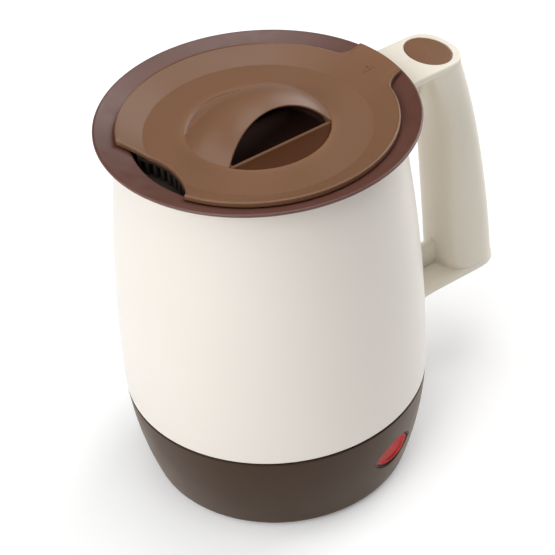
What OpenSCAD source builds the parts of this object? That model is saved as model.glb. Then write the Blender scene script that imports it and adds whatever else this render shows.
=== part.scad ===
// Electric milk warming jug: a heated pot in a double wall, with a lift-off strainer lid.
// Millimetres. +X points to the handle, -X to the pouring side, +Z up, and Z = 0 is the table.

/* [Barrel body] */
// Largest radius of the barrel
belly_r = 70; // [62:0.5:80]
// Height of the largest radius
belly_z = 60; // [56:1:70]
// Radius of the side curve below the belly
lower_curve_r = 178; // [150:1:240]
// Radius of the side curve above the belly
upper_curve_r = 800; // [600:10:1500]
// Wall of the body shell
body_wall = 2.5; // [2:0.1:3.2]
// Height of the joint between base and body
seam_z = 48; // [45:1:50]
// Open width of that joint
seam_gap = 0.8; // [0.4:0.1:1.4]
// Wall of the base shell
base_wall = 2.8; // [2.2:0.1:3.4]
// Thickness of the base floor
floor_t = 2.5; // [2:0.1:3.5]
// Rounding of the bottom edge
base_edge_r = 3.5; // [2:0.5:5]

/* [Pot and rim] */
// Height of the rim's lip
rim_z = 184.5; // [175:0.5:210]
// How far the rim reaches past the body
rim_overhang = 7.4; // [6:0.1:12]
// Slope of the rim, in degrees
rim_slope = 23; // [15:1:30]
// Sheet thickness of the pot
pot_wall = 1.5; // [1:0.1:2]
// Air gap between pot and body at the top
pot_air_gap = 2.75; // [2:0.05:4]
// Height of the pot's floor, inside
pot_floor_z = 58; // [55:1:66]
// Rounding between the pot's floor and wall
pot_corner_r = 14; // [10:1:18]
// Rounding between the pot's wall and the rim
throat_r = 3; // [2.5:0.5:5]
// Thickness of the seal under the rim
seal_t = 1.7; // [1.2:0.1:2.5]

/* [Lid] */
// Width of the rim that shows round the lid
lid_margin = 8; // [7:0.5:12]
// Thickness of the lid
lid_t = 2.2; // [1.8:0.1:2.8]
// Width of the lid's sloping flange
flange_w = 11.5; // [10.5:0.5:13]
// Reach of the thumb tab past the lid's edge
tab_reach = 9; // [6.5:0.5:9.5]
// Half angle of the thumb tab
tab_angle = 12; // [9:0.5:16]
// Depth of the pouring notch from the lid's edge
notch_depth = 15.5; // [13:0.5:16]
// Half width of the pouring notch
notch_half_w = 25.5; // [22:0.5:28]
// Radius of the round finger well
well_r = 31.5; // [28:0.5:33]
// Height of the grip's arch
arch_h = 16; // [14:0.5:22]
// Half width of the arch at its feet
arch_foot_half = 15.5; // [13:0.5:18]
// Half width of the arch at its crown
arch_crown_half = 8; // [6.5:0.5:11]
// Wall of the arch
arch_wall = 2; // [1.6:0.1:2.6]
// Depth of the strainer's skirt below the dish
skirt_depth = 11; // [9:0.5:16]
// Number of slots in the strainer
slot_count = 9; // [5:1:11]
// Width of a strainer slot
slot_w = 2.2; // [1.5:0.1:2.6]

/* [Handle] */
// Reach of the column's foot past the belly
foot_reach = 55.5; // [52:0.5:64]
// Reach of the column's top past the body's top edge
top_reach = 45; // [41:1:50]
// Finger room between belly and column
finger_gap = 26; // [22:1:30]
// Half width of the column
column_half_w = 15.4; // [13:0.2:18]
// Outward bow of the column
column_bow = 3.5; // [0:0.5:6]
// Wall of the hollow column
column_wall = 2.6; // [2:0.1:3.2]
// Thickness of the end plates
plate_t = 3.2; // [2.8:0.1:4.5]
// Step from the seam up to the lower plate
foot_rise = 7; // [5:1:12]
// Length of the oval inlay across the handle
inlay_len = 25.5; // [18:0.5:26]
// Width of the oval inlay along the handle
inlay_w = 18.2; // [13:0.2:19]

/* [Switch] */
// Direction of the switch round the base, in degrees
switch_az = -74; // [-100:1:-60]
// Height of the switch
switch_z = 26; // [24:1:28]
// Width of the almond opening
switch_w = 26.5; // [25:0.5:29]
// Height of the almond opening
switch_h = 16; // [14:0.2:17]
// Rocking angle each side of the middle
rocker_tilt = 6; // [3:0.5:7]

/* [Connector] */
// Radius of the connector's mouth
mouth_r = 20.5; // [18:0.5:22]
// Depth of the connector's mouth
mouth_depth = 12; // [11:0.5:14]
// Free depth below the contacts
contact_setback = 5.5; // [4:0.5:7]

/* [Heater] */
// Radius of the heater plate
heater_r = 40; // [39.5:0.1:40.5]
// Thickness of the heater plate
heater_t = 4; // [3:0.5:5]
// Ring radius of the heating element
element_ring_r = 23; // [22:0.5:24]
// Tube radius of the heating element
element_r = 3.4; // [3:0.1:3.6]
// Length of the bosses under the plate
boss_len = 12; // [10:1:14]
// Distance of the tie screws from the axis
tie_r = 34; // [33:0.5:34.5]

/* [Hidden] */
$fn = 96;
fine = 256;
// Running and seating clearances
seat = 0.1;
fit = 0.2;
lid_gap = 0.35;
pin_fit = 0.05;
over = 1;

// Colours
cream = "#EFE8DE";
dark_brown = "#4B3C34";
rim_brown = "#78574E";
lid_brown = "#8A6850";
black = "#1E1B1A";
steel = "#B9BCC0";
brass = "#C7A250";
aluminium = "#C9CBCD";

// Slope of the rim as a rise and a stretch
slope_tan = tan(rim_slope);
slope_len = 1 / cos(rim_slope);

// Radius of the barrel at a height, moved in by an inset
function barrel_r(z, inset = 0) =
    let (curve = z < belly_z ? lower_curve_r : upper_curve_r)
    belly_r - curve + sqrt(pow(curve - inset, 2) - pow(z - belly_z, 2));

// Body, pot and rim
body_top_z = rim_z - rim_overhang * slope_tan - pot_wall * slope_len - seal_t;
body_top_r = barrel_r(body_top_z);
rim_r = body_top_r + rim_overhang;
pot_r = body_top_r - body_wall - pot_air_gap - pot_wall;
function rim_surface(r) = rim_z - (rim_r - r) * slope_tan;
// Arc between the pot's wall and the rim
throat_x = pot_r + throat_r;
throat_turn = 90 + rim_slope;
throat_z = rim_surface(throat_x + throat_r * cos(throat_turn)) - throat_r * sin(throat_turn);
// The rolled lip curls down, and stands this much above the rim's face
lip_r = 1.1;
lip_proud = 0.03;

// Base
foot_t = 1.2;
foot_r = 5;
foot_sink = 1;
foot_ring_r = 47;
base_z = foot_t;
floor_top = base_z + floor_t;
base_top = seam_z - seam_gap / 2;
body_bottom = seam_z + seam_gap / 2;
spigot_up = 6;
spigot_down = 6;
spigot_wall = 2.2;
spigot_inset = body_wall + fit;
edge_z = base_z + base_edge_r;
edge_curve = lower_curve_r - base_edge_r;
edge_x = belly_r - lower_curve_r + sqrt(pow(edge_curve, 2) - pow(edge_z - belly_z, 2));
edge_top = belly_z + lower_curve_r * (edge_z - belly_z) / edge_curve;

// Heater and tie screws
heater_top = pot_floor_z - pot_wall;
heater_z = heater_top - heater_t;
boss_r = 5;
boss_end = heater_z - boss_len;
tie_angles = [90, 210, 330];
tie_shank_r = 2;
tie_head_r = 3.8;
tie_head_t = 2.6;
tie_grip = 10;
tie_bite = 9.5;
tower_wall = 1.8;
tower_bore_r = tie_head_r + 0.4;
tower_r = tower_bore_r + tower_wall;
tower_shoulder = boss_end - tie_grip;
element_z = heater_z - element_r - seat;
element_open = 56;
element_leg = 13;
element_leg_turn = 7;
stat_cap_r = 8.5;
stat_cap_t = 4;
stat_body_r = 7.5;
stat_body_t = 8;
blade_t = 0.8;
blade_w = 5;
blade_len = 6;
stat_blade_x = 4;
bracket_t = 0.8;
bracket_w = 9;
bracket_arm = 16;
bracket_screw_y = 13;
stat_screw_r = 1.5;
stat_screw_head_r = 2.6;
stat_screw_head_t = 1.8;
stat_screw_bite = 2.5;
stat_cap_z = heater_z - stat_cap_t;
fuse_r = 2;
fuse_len = 12;
fuse_y = -31;
fuse_z = heater_z - fuse_r - 0.4;
clip_len = 5;
clip_wall = 1.2;

// Connector
socket_wall = 2;
mouth_step = 0.8;
socket_z = base_z - 0.2;
socket_roof = 3;
socket_roof_z = socket_z + mouth_depth;
socket_flange_r = mouth_r + 5;
socket_flange_t = 2;
contact_z = socket_z + contact_setback;
earth_pin_r = 2.2;
ring_radii = [7.5, 14.5];
ring_t = 1;
ring_seat = 1.4;
tail_angles = [switch_az, 150];
tail_r = 1.2;
tail_rise = 5;
tail_top = socket_roof_z + socket_roof + tail_rise;

// Switch, in a frame on the wall: X out of the wall, Y along it, Z up it
switch_wall_r = barrel_r(switch_z);
switch_lean = asin((belly_z - switch_z) / lower_curve_r);
sleeve_wall = 0.7;
sleeve_front = -1.4;
housing_front = -6;
housing_depth = 12;
housing_back = housing_front - housing_depth;
housing_w = switch_w + 3;
housing_h = switch_h + 5;
sleeve_w = switch_w - 2 * fit - 2 * sleeve_wall;
sleeve_h = switch_h - 2 * fit - 2 * sleeve_wall;
rocker_play = 2.6;
rocker_w = sleeve_w - rocker_play;
rocker_h = sleeve_h - 1.2;
rocker_front = -1.2;
rocker_t = 8;
rocker_dish_r = 60;
rocker_axis_x = rocker_front - rocker_t + 2;
cavity_depth = 4.5;
cavity_back = housing_front - cavity_depth;
pivot_r = 1;
pivot_len = housing_h - 2;
lamp_r = 2.2;
lamp_len = 6;
terminal_w = 6.3;
terminal_len = 8;
terminal_y = 8;

// Lid
lid_r = rim_r - lid_margin;
dish_r = lid_r - flange_w;
tab_r = lid_r + tab_reach;
function lid_under(r) = rim_surface(r) + lid_gap * slope_len;
function lid_over(r) = lid_under(r) + lid_t * slope_len;
dish_rise = 0.8;
dish_t = lid_t * slope_len;
function dish_over(r) = lid_over(dish_r) + dish_rise * (1 - r / dish_r);
tab_fillet = 6;
tab_fillet_lap = 0.1;
tab_fillet_at = lid_r + tab_fillet - tab_fillet_lap;
tab_fillet_turn = asin((tab_fillet - tab_fillet_lap) / tab_fillet_at);
notch_x = lid_r - notch_depth;
notch_sag = sqrt(pow(lid_r, 2) - pow(notch_half_w, 2)) - notch_x;
notch_r = (pow(notch_half_w, 2) + pow(notch_sag, 2)) / (2 * notch_sag);
notch_centre = -(notch_x + notch_r);
well_tilt_drop = 1.5;
well_t = 1.8;
well_lap = 0.3;
well_hole_r = well_r - 1.8;
arch_base_z = dish_over(well_r);
arch_r = (pow(well_r, 2) + pow(arch_h, 2)) / (2 * arch_h);
arch_axis_z = arch_base_z + arch_h - arch_r;
arch_dome_r = 33;
// The arch's ends are waisted: arcs in plan through the crown and the feet
waist_foot_y = arch_foot_half + well_lap;
waist_depth = waist_foot_y - arch_crown_half;
waist_r = (pow(well_r, 2) - pow(waist_foot_y, 2) + pow(waist_depth, 2)) / (2 * waist_depth);
cup_gap = 0.3;
cup_wall = 1.5;
cup_r = well_r + well_lap + cup_gap + cup_wall;
cup_depth = 9;
skirt_gap = 1.6;
skirt_t = 1.5;
skirt_r = pot_r - skirt_gap;
skirt_z = lid_over(dish_r) - dish_t - skirt_depth;
shelf_z = skirt_z + 2;
shelf_t = 1.5;
comb_t = 1.6;
comb_r = notch_r + fit + comb_t;
slot_top_gap = 1.2;
slot_pitch = 2 * slot_w;

// Handle
handle_top = body_top_z;
handle_foot = seam_z + foot_rise;
column_bottom = handle_foot + plate_t;
column_top = handle_top - plate_t;
body_clear = 0.15;
function column_t(z) = (z - handle_foot) / (handle_top - handle_foot);
function mix(a, b, t) = a + (b - a) * t;
function column_out(t) = mix(belly_r + foot_reach, body_top_r + top_reach, t) + 4 * column_bow * t * (1 - t);
grip_arch_start = 0.62;
grip_arch_in = 12;
grip_lean = 5;
function column_in(t) =
    let (arch = max(0, (t - grip_arch_start) / (1 - grip_arch_start)))
    belly_r + finger_gap - grip_lean * t - grip_arch_in * pow(arch, 2);
function column_mid(t) = (column_out(t) + column_in(t)) / 2;
function column_half_d(t) = (column_out(t) - column_in(t)) / 2;
plate_lip = 0.5;
plate_half_w = column_half_w + plate_lip;
column_lap = 0.4;
// Softly squared sections: powers below 1 fill the corners
grip_square = 0.8;
function squared(c) = sign(c) * pow(abs(c), grip_square);
section_count = 15;
section_steps = 16;
inlay_shift = 1;
inlay_x = column_mid(1) + inlay_shift;
inlay_t = 2;
web_half = 3;
web_top_drop = 9;
web_foot_low = 6;
web_foot_rise = 9;
root_half_w = 11;
root_len = 7.5;
root_h = 12;
flare_len = 18;
flare_w = 1.5;
handle_screw_az = 6.5;
handle_screw_r = 1.9;
handle_screw_len = 8;
handle_screw_head_r = 3.4;
handle_screw_head_t = 2.2;
top_screw_z = column_top - root_h / 2;
foot_screw_z = column_bottom + root_h / 2;

// Leads: radius and hand-chosen routes between the terminals
lead_r = 1.1;
lead_sides = 8;
lead_end = 0.4;
lead_straight = 3;
// A point of the switch's frame, in the frame of the jug
function on_wall(p) =
    let (
        out = switch_wall_r + p[0] * cos(switch_lean) + p[2] * sin(switch_lean),
        up = switch_z - p[0] * sin(switch_lean) + p[2] * cos(switch_lean)
    )
    [out * cos(switch_az) - p[1] * sin(switch_az), out * sin(switch_az) + p[1] * cos(switch_az), up];
terminal_tip = housing_back - terminal_len - lead_end;
function terminal_run(s) =
    [on_wall([terminal_tip - lead_straight, s * terminal_y, 0]), on_wall([terminal_tip, s * terminal_y, 0])];
function tail_run(i) =
    let (p = ring_radii[i] * [cos(tail_angles[i]), sin(tail_angles[i])])
    [[p[0], p[1], tail_top + lead_end], [p[0], p[1], tail_top + lead_end + lead_straight]];
stat_blade_z = stat_cap_z - stat_body_t - blade_len - lead_end;
function stat_run(s) =
    [[s * stat_blade_x, 0, stat_blade_z], [s * stat_blade_x, 0, stat_blade_z - lead_straight]];
function fuse_run(s) =
    let (x = fuse_len / 2 + lead_end)
    [[s * x, fuse_y, fuse_z], [s * (x + lead_straight), fuse_y, fuse_z]];
function leg_run(s) =
    let (
        a = 180 + s * (element_open / 2 + element_leg_turn),
        z = element_z - element_leg - lead_end,
        p = element_ring_r * [cos(a), sin(a)]
    )
    [[p[0], p[1], z - lead_straight], [p[0], p[1], z]];
live_route = concat(tail_run(0), [[2.5, -18, 26.5], [3.2, -29, 28.5]], terminal_run(-1));
switched_route = concat(
    [terminal_run(1)[1], terminal_run(1)[0]], [[14, -24, 29], [8, -9, 27.5]], [stat_run(1)[1], stat_run(1)[0]]
);
fuse_route = concat(
    stat_run(-1), [[-7.5, -10, 31.5], [-12.5, -22, 39], [-14, -29, 47]], [fuse_run(-1)[1], fuse_run(-1)[0]]
);
element_route = concat(
    fuse_run(1), [[12.5, -28, 44], [7, -23, 37], [-4, -20, 33.5], [-14, -16, 29]], leg_run(1)
);
neutral_route = concat(tail_run(1), [[-15.5, 10, 28.5]], leg_run(-1));
earth_route = [
    [0, 0, tail_top + lead_end],
    [0, 0.5, tail_top + lead_end + lead_straight],
    [6, 9, 33],
    [10, 11, 42],
    [10.5, 11, heater_z - lead_straight],
    [10.5, 11, heater_z - lead_end]
];

// Filled half profile of the barrel between two heights
module barrel_2d(inset, low, high) {
    intersection() {
        translate([0, low]) square([2 * belly_r, high - low]);
        union() {
            intersection() {
                translate([belly_r - lower_curve_r, belly_z]) circle(r = lower_curve_r - inset, $fn = fine);
                translate([0, belly_z - lower_curve_r]) square([2 * belly_r, lower_curve_r]);
            }
            intersection() {
                translate([belly_r - upper_curve_r, belly_z]) circle(r = upper_curve_r - inset, $fn = fine);
                translate([0, belly_z]) square([2 * belly_r, rim_z]);
            }
        }
    }
}

// Filled half profile of the base's outside, with its rounded bottom edge
module base_outline_2d() {
    barrel_2d(0, edge_top, base_top);
    translate([edge_x, edge_z]) circle(r = base_edge_r);
    translate([0, base_z]) square([edge_x, edge_top - base_z + base_edge_r]);
}

// Half profile of the space inside the pot and above the rim, grown by the sheet
module pot_space_2d(grow) {
    corner = pot_r - pot_corner_r;
    translate([0, pot_floor_z - grow]) square([corner, rim_z - pot_floor_z]);
    translate([corner, pot_floor_z + pot_corner_r]) circle(r = pot_corner_r + grow);
    translate([0, pot_floor_z + pot_corner_r]) square([pot_r + grow, throat_z - pot_floor_z - pot_corner_r]);
    turn_r = throat_r - grow;
    difference() {
        polygon([
            [0, throat_z - over],
            [pot_r + grow, throat_z - over],
            [pot_r + grow, throat_z],
            [throat_x, throat_z],
            [throat_x + turn_r * cos(throat_turn), throat_z + turn_r * sin(throat_turn)],
            [rim_r + grow * sin(rim_slope), rim_z - grow * cos(rim_slope)],
            [rim_r, rim_z],
            [0, rim_z]
        ]);
        translate([throat_x, throat_z]) circle(r = turn_r);
    }
}

module body_shell() {
    color(cream)
    difference() {
        rotate_extrude($fn = fine) difference() {
            barrel_2d(0, body_bottom, body_top_z);
            barrel_2d(body_wall, body_bottom - over, body_top_z + over);
        }
        handle_screw_places() translate([0, 0, -2 * handle_screw_len]) {
            cylinder(r = handle_screw_r + fit, h = 4 * handle_screw_len);
            // Flat seat for the head
            cylinder(r = handle_screw_head_r + fit, h = 2 * handle_screw_len - seat);
        }
    }
}

module base_shell() {
    color(dark_brown)
    difference() {
        union() {
            rotate_extrude($fn = fine) difference() {
                base_outline_2d();
                barrel_2d(base_wall, floor_top, base_top + over);
            }
            // Spigot that carries the body shell
            rotate_extrude($fn = fine) difference() {
                union() {
                    barrel_2d(spigot_inset, base_top, seam_z + spigot_up);
                    barrel_2d(base_wall / 2, base_top - spigot_down, base_top);
                }
                barrel_2d(
                    spigot_inset + spigot_wall,
                    base_top - spigot_down - over,
                    seam_z + spigot_up + over
                );
            }
            at_ties() translate([0, 0, base_z]) cylinder(r = tower_r, h = boss_end - base_z);
        }
        at_ties() {
            translate([0, 0, base_z - over]) cylinder(r = tower_bore_r, h = tower_shoulder - base_z + over);
            translate([0, 0, base_z]) cylinder(r = tie_shank_r + fit, h = boss_end);
        }
        translate([0, 0, base_z - over]) cylinder(r = mouth_r + socket_wall + fit, h = floor_t + 2 * over);
        at_feet() translate([0, 0, base_z - over]) cylinder(r = foot_r + seat, h = foot_sink + over);
        on_switch() translate([-base_wall - 6, 0, 0]) almond(switch_w, switch_h, base_wall + 12);
    }
}

module inner_pot() {
    color(rim_brown)
    rotate_extrude($fn = fine) {
        difference() {
            pot_space_2d(pot_wall);
            pot_space_2d(0);
        }
        translate([rim_r, rim_z] + (lip_r - lip_proud) * [sin(rim_slope), -cos(rim_slope)]) circle(r = lip_r);
    }
}

module rim_seal() {
    inner = body_top_r - body_wall;
    under = pot_wall * slope_len + seat;
    color(black)
    rotate_extrude($fn = fine)
        polygon([
            [inner, body_top_z],
            [body_top_r, body_top_z],
            [body_top_r, rim_surface(body_top_r) - under],
            [inner, rim_surface(inner) - under]
        ]);
}

// Repeats its children at the tie screws
module at_ties() {
    for (a = tie_angles)
        rotate(a) translate([tie_r, 0, 0]) children();
}

// Repeats its children at the feet
module at_feet() {
    for (a = [45:90:315])
        rotate(a) translate([foot_ring_r, 0, 0]) children();
}

module heater_plate() {
    color(aluminium)
    difference() {
        union() {
            translate([0, 0, heater_z]) cylinder(r = heater_r, h = heater_t, $fn = fine);
            at_ties() translate([0, 0, boss_end]) cylinder(r = boss_r, h = boss_len + heater_t / 2);
        }
        at_ties() translate([0, 0, boss_end - over])
            cylinder(r = tie_shank_r + pin_fit, h = tie_bite + 2 * over);
        for (s = [-1, 1])
            translate([0, s * bracket_screw_y, heater_z - over])
                cylinder(r = stat_screw_r + pin_fit, h = stat_screw_bite + 1.5 * over);
    }
}

module heating_element() {
    start = 180 + element_open / 2;
    color("#8C8F94")
    translate([0, 0, element_z]) {
        rotate(start)
            rotate_extrude(angle = 360 - element_open)
                translate([element_ring_r, 0]) circle(r = element_r);
        for (s = [-1, 1])
            rotate(180 + s * (element_open / 2 + element_leg_turn))
                translate([element_ring_r, 0, -element_leg])
                    cylinder(r = element_r - 1, h = element_leg);
    }
}

module thermostat() {
    color(black)
    translate([0, 0, stat_cap_z]) {
        cylinder(r = stat_cap_r, h = stat_cap_t);
        translate([0, 0, -stat_body_t]) cylinder(r = stat_body_r, h = stat_body_t + over);
        for (s = [-1, 1])
            translate([s * stat_blade_x - blade_t / 2, -blade_w / 2, -stat_body_t - blade_len])
                cube([blade_t, blade_w, blade_len + over]);
    }
}

module thermostat_bracket() {
    color(steel)
    translate([0, 0, stat_cap_z - bracket_t])
        linear_extrude(bracket_t) difference() {
            square([bracket_w, 2 * bracket_arm], center = true);
            circle(r = stat_body_r + fit);
            for (s = [-1, 1])
                translate([0, s * bracket_screw_y]) circle(r = stat_screw_r + fit);
        }
    color(steel)
    translate([0, 0, stat_cap_z - bracket_t])
        linear_extrude(bracket_t) difference() {
            circle(r = stat_body_r + fit + 2);
            circle(r = stat_body_r + fit);
        }
}

module thermostat_screws() {
    color(steel)
    for (s = [-1, 1])
        translate([0, s * bracket_screw_y, stat_cap_z - bracket_t]) {
            translate([0, 0, -stat_screw_head_t]) cylinder(r = stat_screw_head_r, h = stat_screw_head_t);
            cylinder(r = stat_screw_r, h = bracket_t + stat_cap_t + stat_screw_bite);
        }
}

module thermal_fuse() {
    color("#D8D2C4")
    translate([-fuse_len / 2, fuse_y, fuse_z]) rotate([0, 90, 0]) cylinder(r = fuse_r, h = fuse_len);
}

module fuse_clip() {
    half = fuse_r + clip_wall;
    color(steel)
    translate([-clip_len / 2, fuse_y, 0])
        difference() {
            translate([0, -half, fuse_z - half]) cube([clip_len, 2 * half, heater_z - fuse_z + half]);
            translate([-over, 0, fuse_z]) rotate([0, 90, 0])
                cylinder(r = fuse_r + pin_fit, h = clip_len + 2 * over);
        }
}

module tie_screws() {
    color(steel)
    at_ties() {
        translate([0, 0, tower_shoulder - tie_head_t]) cylinder(r = tie_head_r, h = tie_head_t);
        translate([0, 0, tower_shoulder - tie_head_t])
            cylinder(r = tie_shank_r, h = tie_head_t + tie_grip + tie_bite);
    }
}

module connector_socket() {
    color(black)
    difference() {
        union() {
            translate([0, 0, socket_z]) cylinder(r = mouth_r + socket_wall, h = mouth_depth + socket_roof);
            translate([0, 0, floor_top]) cylinder(r = socket_flange_r, h = socket_flange_t);
        }
        translate([0, 0, socket_z - over]) cylinder(r = mouth_r, h = contact_setback + over);
        translate([0, 0, socket_z]) cylinder(r = mouth_r - mouth_step, h = mouth_depth);
        translate([0, 0, socket_z]) cylinder(r = earth_pin_r + pin_fit, h = tail_top);
        for (r = ring_radii)
            translate([0, 0, socket_roof_z - over]) difference() {
                cylinder(r = r + ring_t / 2 + pin_fit, h = over + ring_seat);
                translate([0, 0, -over]) cylinder(r = r - ring_t / 2 - pin_fit, h = 4 * over + ring_seat);
            }
        at_tails() translate([0, 0, socket_roof_z])
            cylinder(r = tail_r + pin_fit, h = tail_rise + socket_roof);
    }
}

// Repeats its children where the ring contacts' tails stand
module at_tails() {
    for (i = [0, 1])
        rotate(tail_angles[i]) translate([ring_radii[i], 0, 0]) children();
}

module earth_pin() {
    color(brass)
    translate([0, 0, contact_z]) cylinder(r = earth_pin_r, h = tail_top - contact_z);
}

module contact_rings() {
    color(brass) {
        for (r = ring_radii)
            translate([0, 0, contact_z]) difference() {
                cylinder(r = r + ring_t / 2, h = socket_roof_z + ring_seat - contact_z);
                translate([0, 0, -over])
                    cylinder(r = r - ring_t / 2, h = socket_roof_z + ring_seat - contact_z + 2 * over);
            }
        at_tails() translate([0, 0, socket_roof_z + ring_seat / 2])
            cylinder(r = tail_r, h = tail_top - socket_roof_z - ring_seat / 2);
    }
}

// Places its children on the wall at the switch
module on_switch() {
    rotate(switch_az) translate([switch_wall_r, 0, switch_z]) rotate([0, switch_lean, 0]) children();
}

// Almond prism along X from the origin, its width along Y
module almond(w, h, depth) {
    r = (pow(w / 2, 2) + pow(h / 2, 2)) / h;
    rotate([90, 0, 90]) linear_extrude(depth) intersection() {
        translate([0, r - h / 2]) circle(r = r, $fn = fine);
        translate([0, h / 2 - r]) circle(r = r, $fn = fine);
    }
}

module switch_housing() {
    color(black)
    on_switch() difference() {
        union() {
            translate([housing_back, -housing_w / 2, -housing_h / 2])
                cube([housing_depth, housing_w, housing_h]);
            translate([housing_front - over, 0, 0])
                almond(switch_w - 2 * fit, switch_h - 2 * fit, sleeve_front - housing_front + over);
        }
        translate([cavity_back, 0, 0]) almond(sleeve_w, sleeve_h, 2 * housing_depth);
        translate([rocker_axis_x, 0, -pivot_len / 2 - pin_fit])
            cylinder(r = pivot_r + pin_fit, h = pivot_len + 2 * pin_fit);
        translate([cavity_back - lamp_len, 0, 0]) rotate([0, 90, 0])
            cylinder(r = lamp_r + seat, h = lamp_len + over);
    }
}

module power_rocker() {
    color("#B4322D")
    on_switch() translate([rocker_axis_x, 0, 0]) rotate(-rocker_tilt) translate([-rocker_axis_x, 0, 0])
        difference() {
            translate([rocker_front - rocker_t, 0, 0]) almond(rocker_w, rocker_h, rocker_t);
            // Shallow finger dish along the face
            translate([rocker_front + rocker_dish_r - 0.7, 0, -rocker_h])
                cylinder(r = rocker_dish_r, h = 2 * rocker_h, $fn = fine);
            translate([rocker_axis_x, 0, -rocker_h]) cylinder(r = pivot_r + pin_fit, h = 2 * rocker_h);
            // Back corners cut away for the rocking travel
            for (s = [-1, 1])
                translate([rocker_front - rocker_t, 0, 0]) rotate(s * 2 * rocker_tilt)
                    translate([-rocker_t, s > 0 ? 0 : -rocker_w, -rocker_h])
                        cube([rocker_t, rocker_w, 2 * rocker_h]);
        }
}

module rocker_pin() {
    color(steel)
    on_switch() translate([rocker_axis_x, 0, -pivot_len / 2]) cylinder(r = pivot_r, h = pivot_len);
}

module neon_lamp() {
    color("#E2A08A")
    on_switch() translate([cavity_back - lamp_len + seat, 0, 0]) rotate([0, 90, 0])
        cylinder(r = lamp_r, h = lamp_len - 1);
}

module switch_terminals() {
    color(brass)
    on_switch() for (s = [-1, 1])
        translate([housing_back - terminal_len, s * terminal_y - blade_t / 2, -terminal_w / 2])
            cube([terminal_len, blade_t, terminal_w]);
}

// Points of one hollow half section of the column at a height, on the +Y side
function half_section(z) =
    let (t = column_t(z), m = column_mid(t), d = column_half_d(t), w = column_wall)
    concat(
        [for (i = [0:section_steps]) let (a = 180 * i / section_steps)
            [m + d * squared(cos(a)), column_half_w * squared(sin(a)), z]],
        [for (i = [section_steps:-1:0]) let (a = 180 * i / section_steps)
            [m + (d - w) * squared(cos(a)), (column_half_w - w) * squared(sin(a)), z]]
    );

// One hollow half of the column, on the +Y side
module column_half() {
    low = column_bottom - column_lap;
    high = column_top + column_lap;
    n = 2 * (section_steps + 1);
    points = [for (k = [0:section_count - 1]) each half_section(mix(low, high, k / (section_count - 1)))];
    sides = [
        for (k = [0:section_count - 2], j = [0:n - 1])
            let (a = k * n + j, b = k * n + (j + 1) % n, c = b + n, d = a + n)
            each [[a, d, c], [a, c, b]]
    ];
    // The caps are strips between the outer and the inner outline
    top = (section_count - 1) * n;
    caps = [
        for (j = [0:section_steps - 1])
            let (a = j, b = j + 1, c = n - 2 - j, d = n - 1 - j)
            each [[a, b, c], [a, c, d], [top + a, top + c, top + b], [top + a, top + d, top + c]]
    ];
    polyhedron(points = points, faces = concat(sides, caps));
}

// Outline of an end plate: a rounded end at mid, straight sides, flared to the body
module plate_2d(mid, half_d, start_x) {
    flare_r = (pow(flare_len, 2) + pow(flare_w, 2)) / (2 * flare_w);
    polygon([
        for (i = [-section_steps:section_steps]) let (a = 90 * i / section_steps)
            [mid + half_d * squared(cos(a)), plate_half_w * squared(sin(a))]
    ]);
    translate([0, -plate_half_w]) square([mid, 2 * plate_half_w]);
    difference() {
        translate([0, -plate_half_w - flare_w]) square([start_x + flare_len, 2 * (plate_half_w + flare_w)]);
        for (s = [-1, 1])
            translate([start_x + flare_len, s * (plate_half_w + flare_r)]) circle(r = flare_r, $fn = fine);
    }
}

// Both end plates, the webs beside the finger gap and the blocks at the body
module handle_frame() {
    top_x = barrel_r(column_top);
    foot_x = barrel_r(handle_foot);
    translate([0, 0, column_top])
        linear_extrude(plate_t) plate_2d(column_mid(1), column_half_d(1) + plate_lip, top_x);
    translate([0, 0, handle_foot])
        linear_extrude(plate_t) plate_2d(column_mid(0), column_half_d(0) + plate_lip, foot_x);
    web_in_top = column_in(column_t(column_top - 2 * web_top_drop)) + column_wall / 2;
    web_in_foot = column_in(column_t(column_bottom + web_foot_rise)) + column_wall / 2;
    rotate([90, 0, 0]) linear_extrude(2 * web_half, center = true) {
        polygon([
            [0, column_top + column_lap],
            [0, column_top - web_top_drop],
            [top_x + root_len, column_top - web_top_drop],
            [web_in_top, column_top - 2 * web_top_drop],
            [web_in_top, column_top + column_lap]
        ]);
        polygon([
            [0, column_bottom - column_lap],
            [0, column_bottom + web_foot_low],
            [foot_x, column_bottom + web_foot_low],
            [web_in_foot, column_bottom + web_foot_rise],
            [web_in_foot, column_bottom - column_lap]
        ]);
    }
    translate([0, -root_half_w, column_top - root_h])
        cube([top_x + root_len, 2 * root_half_w, root_h + column_lap]);
    translate([0, -root_half_w, column_bottom - column_lap])
        cube([foot_x + root_len, 2 * root_half_w, root_h + column_lap]);
}

// Places its children at the handle's screws, with Z pointing out along each screw
module handle_screw_places() {
    for (z = [top_screw_z, foot_screw_z], s = [-1, 1])
        rotate(s * handle_screw_az) translate([barrel_r(z, body_wall), 0, z]) rotate([0, 90, 0]) children();
}

// One half of the handle, on the +Y side
module handle_half() {
    difference() {
        union() {
            column_half();
            intersection() {
                handle_frame();
                translate([0, 0, handle_foot - over]) cube([3 * belly_r, belly_r, rim_z]);
            }
        }
        rotate_extrude($fn = fine) barrel_2d(-body_clear, handle_foot - over, handle_top + over);
        translate([inlay_x, 0, handle_top - inlay_t])
            oval(inlay_w / 2 + seat, inlay_len / 2 + seat, inlay_t + over);
        handle_screw_places() cylinder(r = handle_screw_r + pin_fit, h = handle_screw_len + 0.5);
    }
}

// Upright elliptic plug
module oval(half_x, half_y, h) {
    scale([half_x / half_y, 1, 1]) cylinder(r = half_y, h = h);
}

module handle_rear_half() {
    color(cream) handle_half();
}

module handle_front_half() {
    color(cream) mirror([0, 1, 0]) handle_half();
}

module handle_inlay() {
    color(lid_brown)
    translate([inlay_x, 0, handle_top - inlay_t]) oval(inlay_w / 2, inlay_len / 2, inlay_t + 0.2);
}

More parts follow.
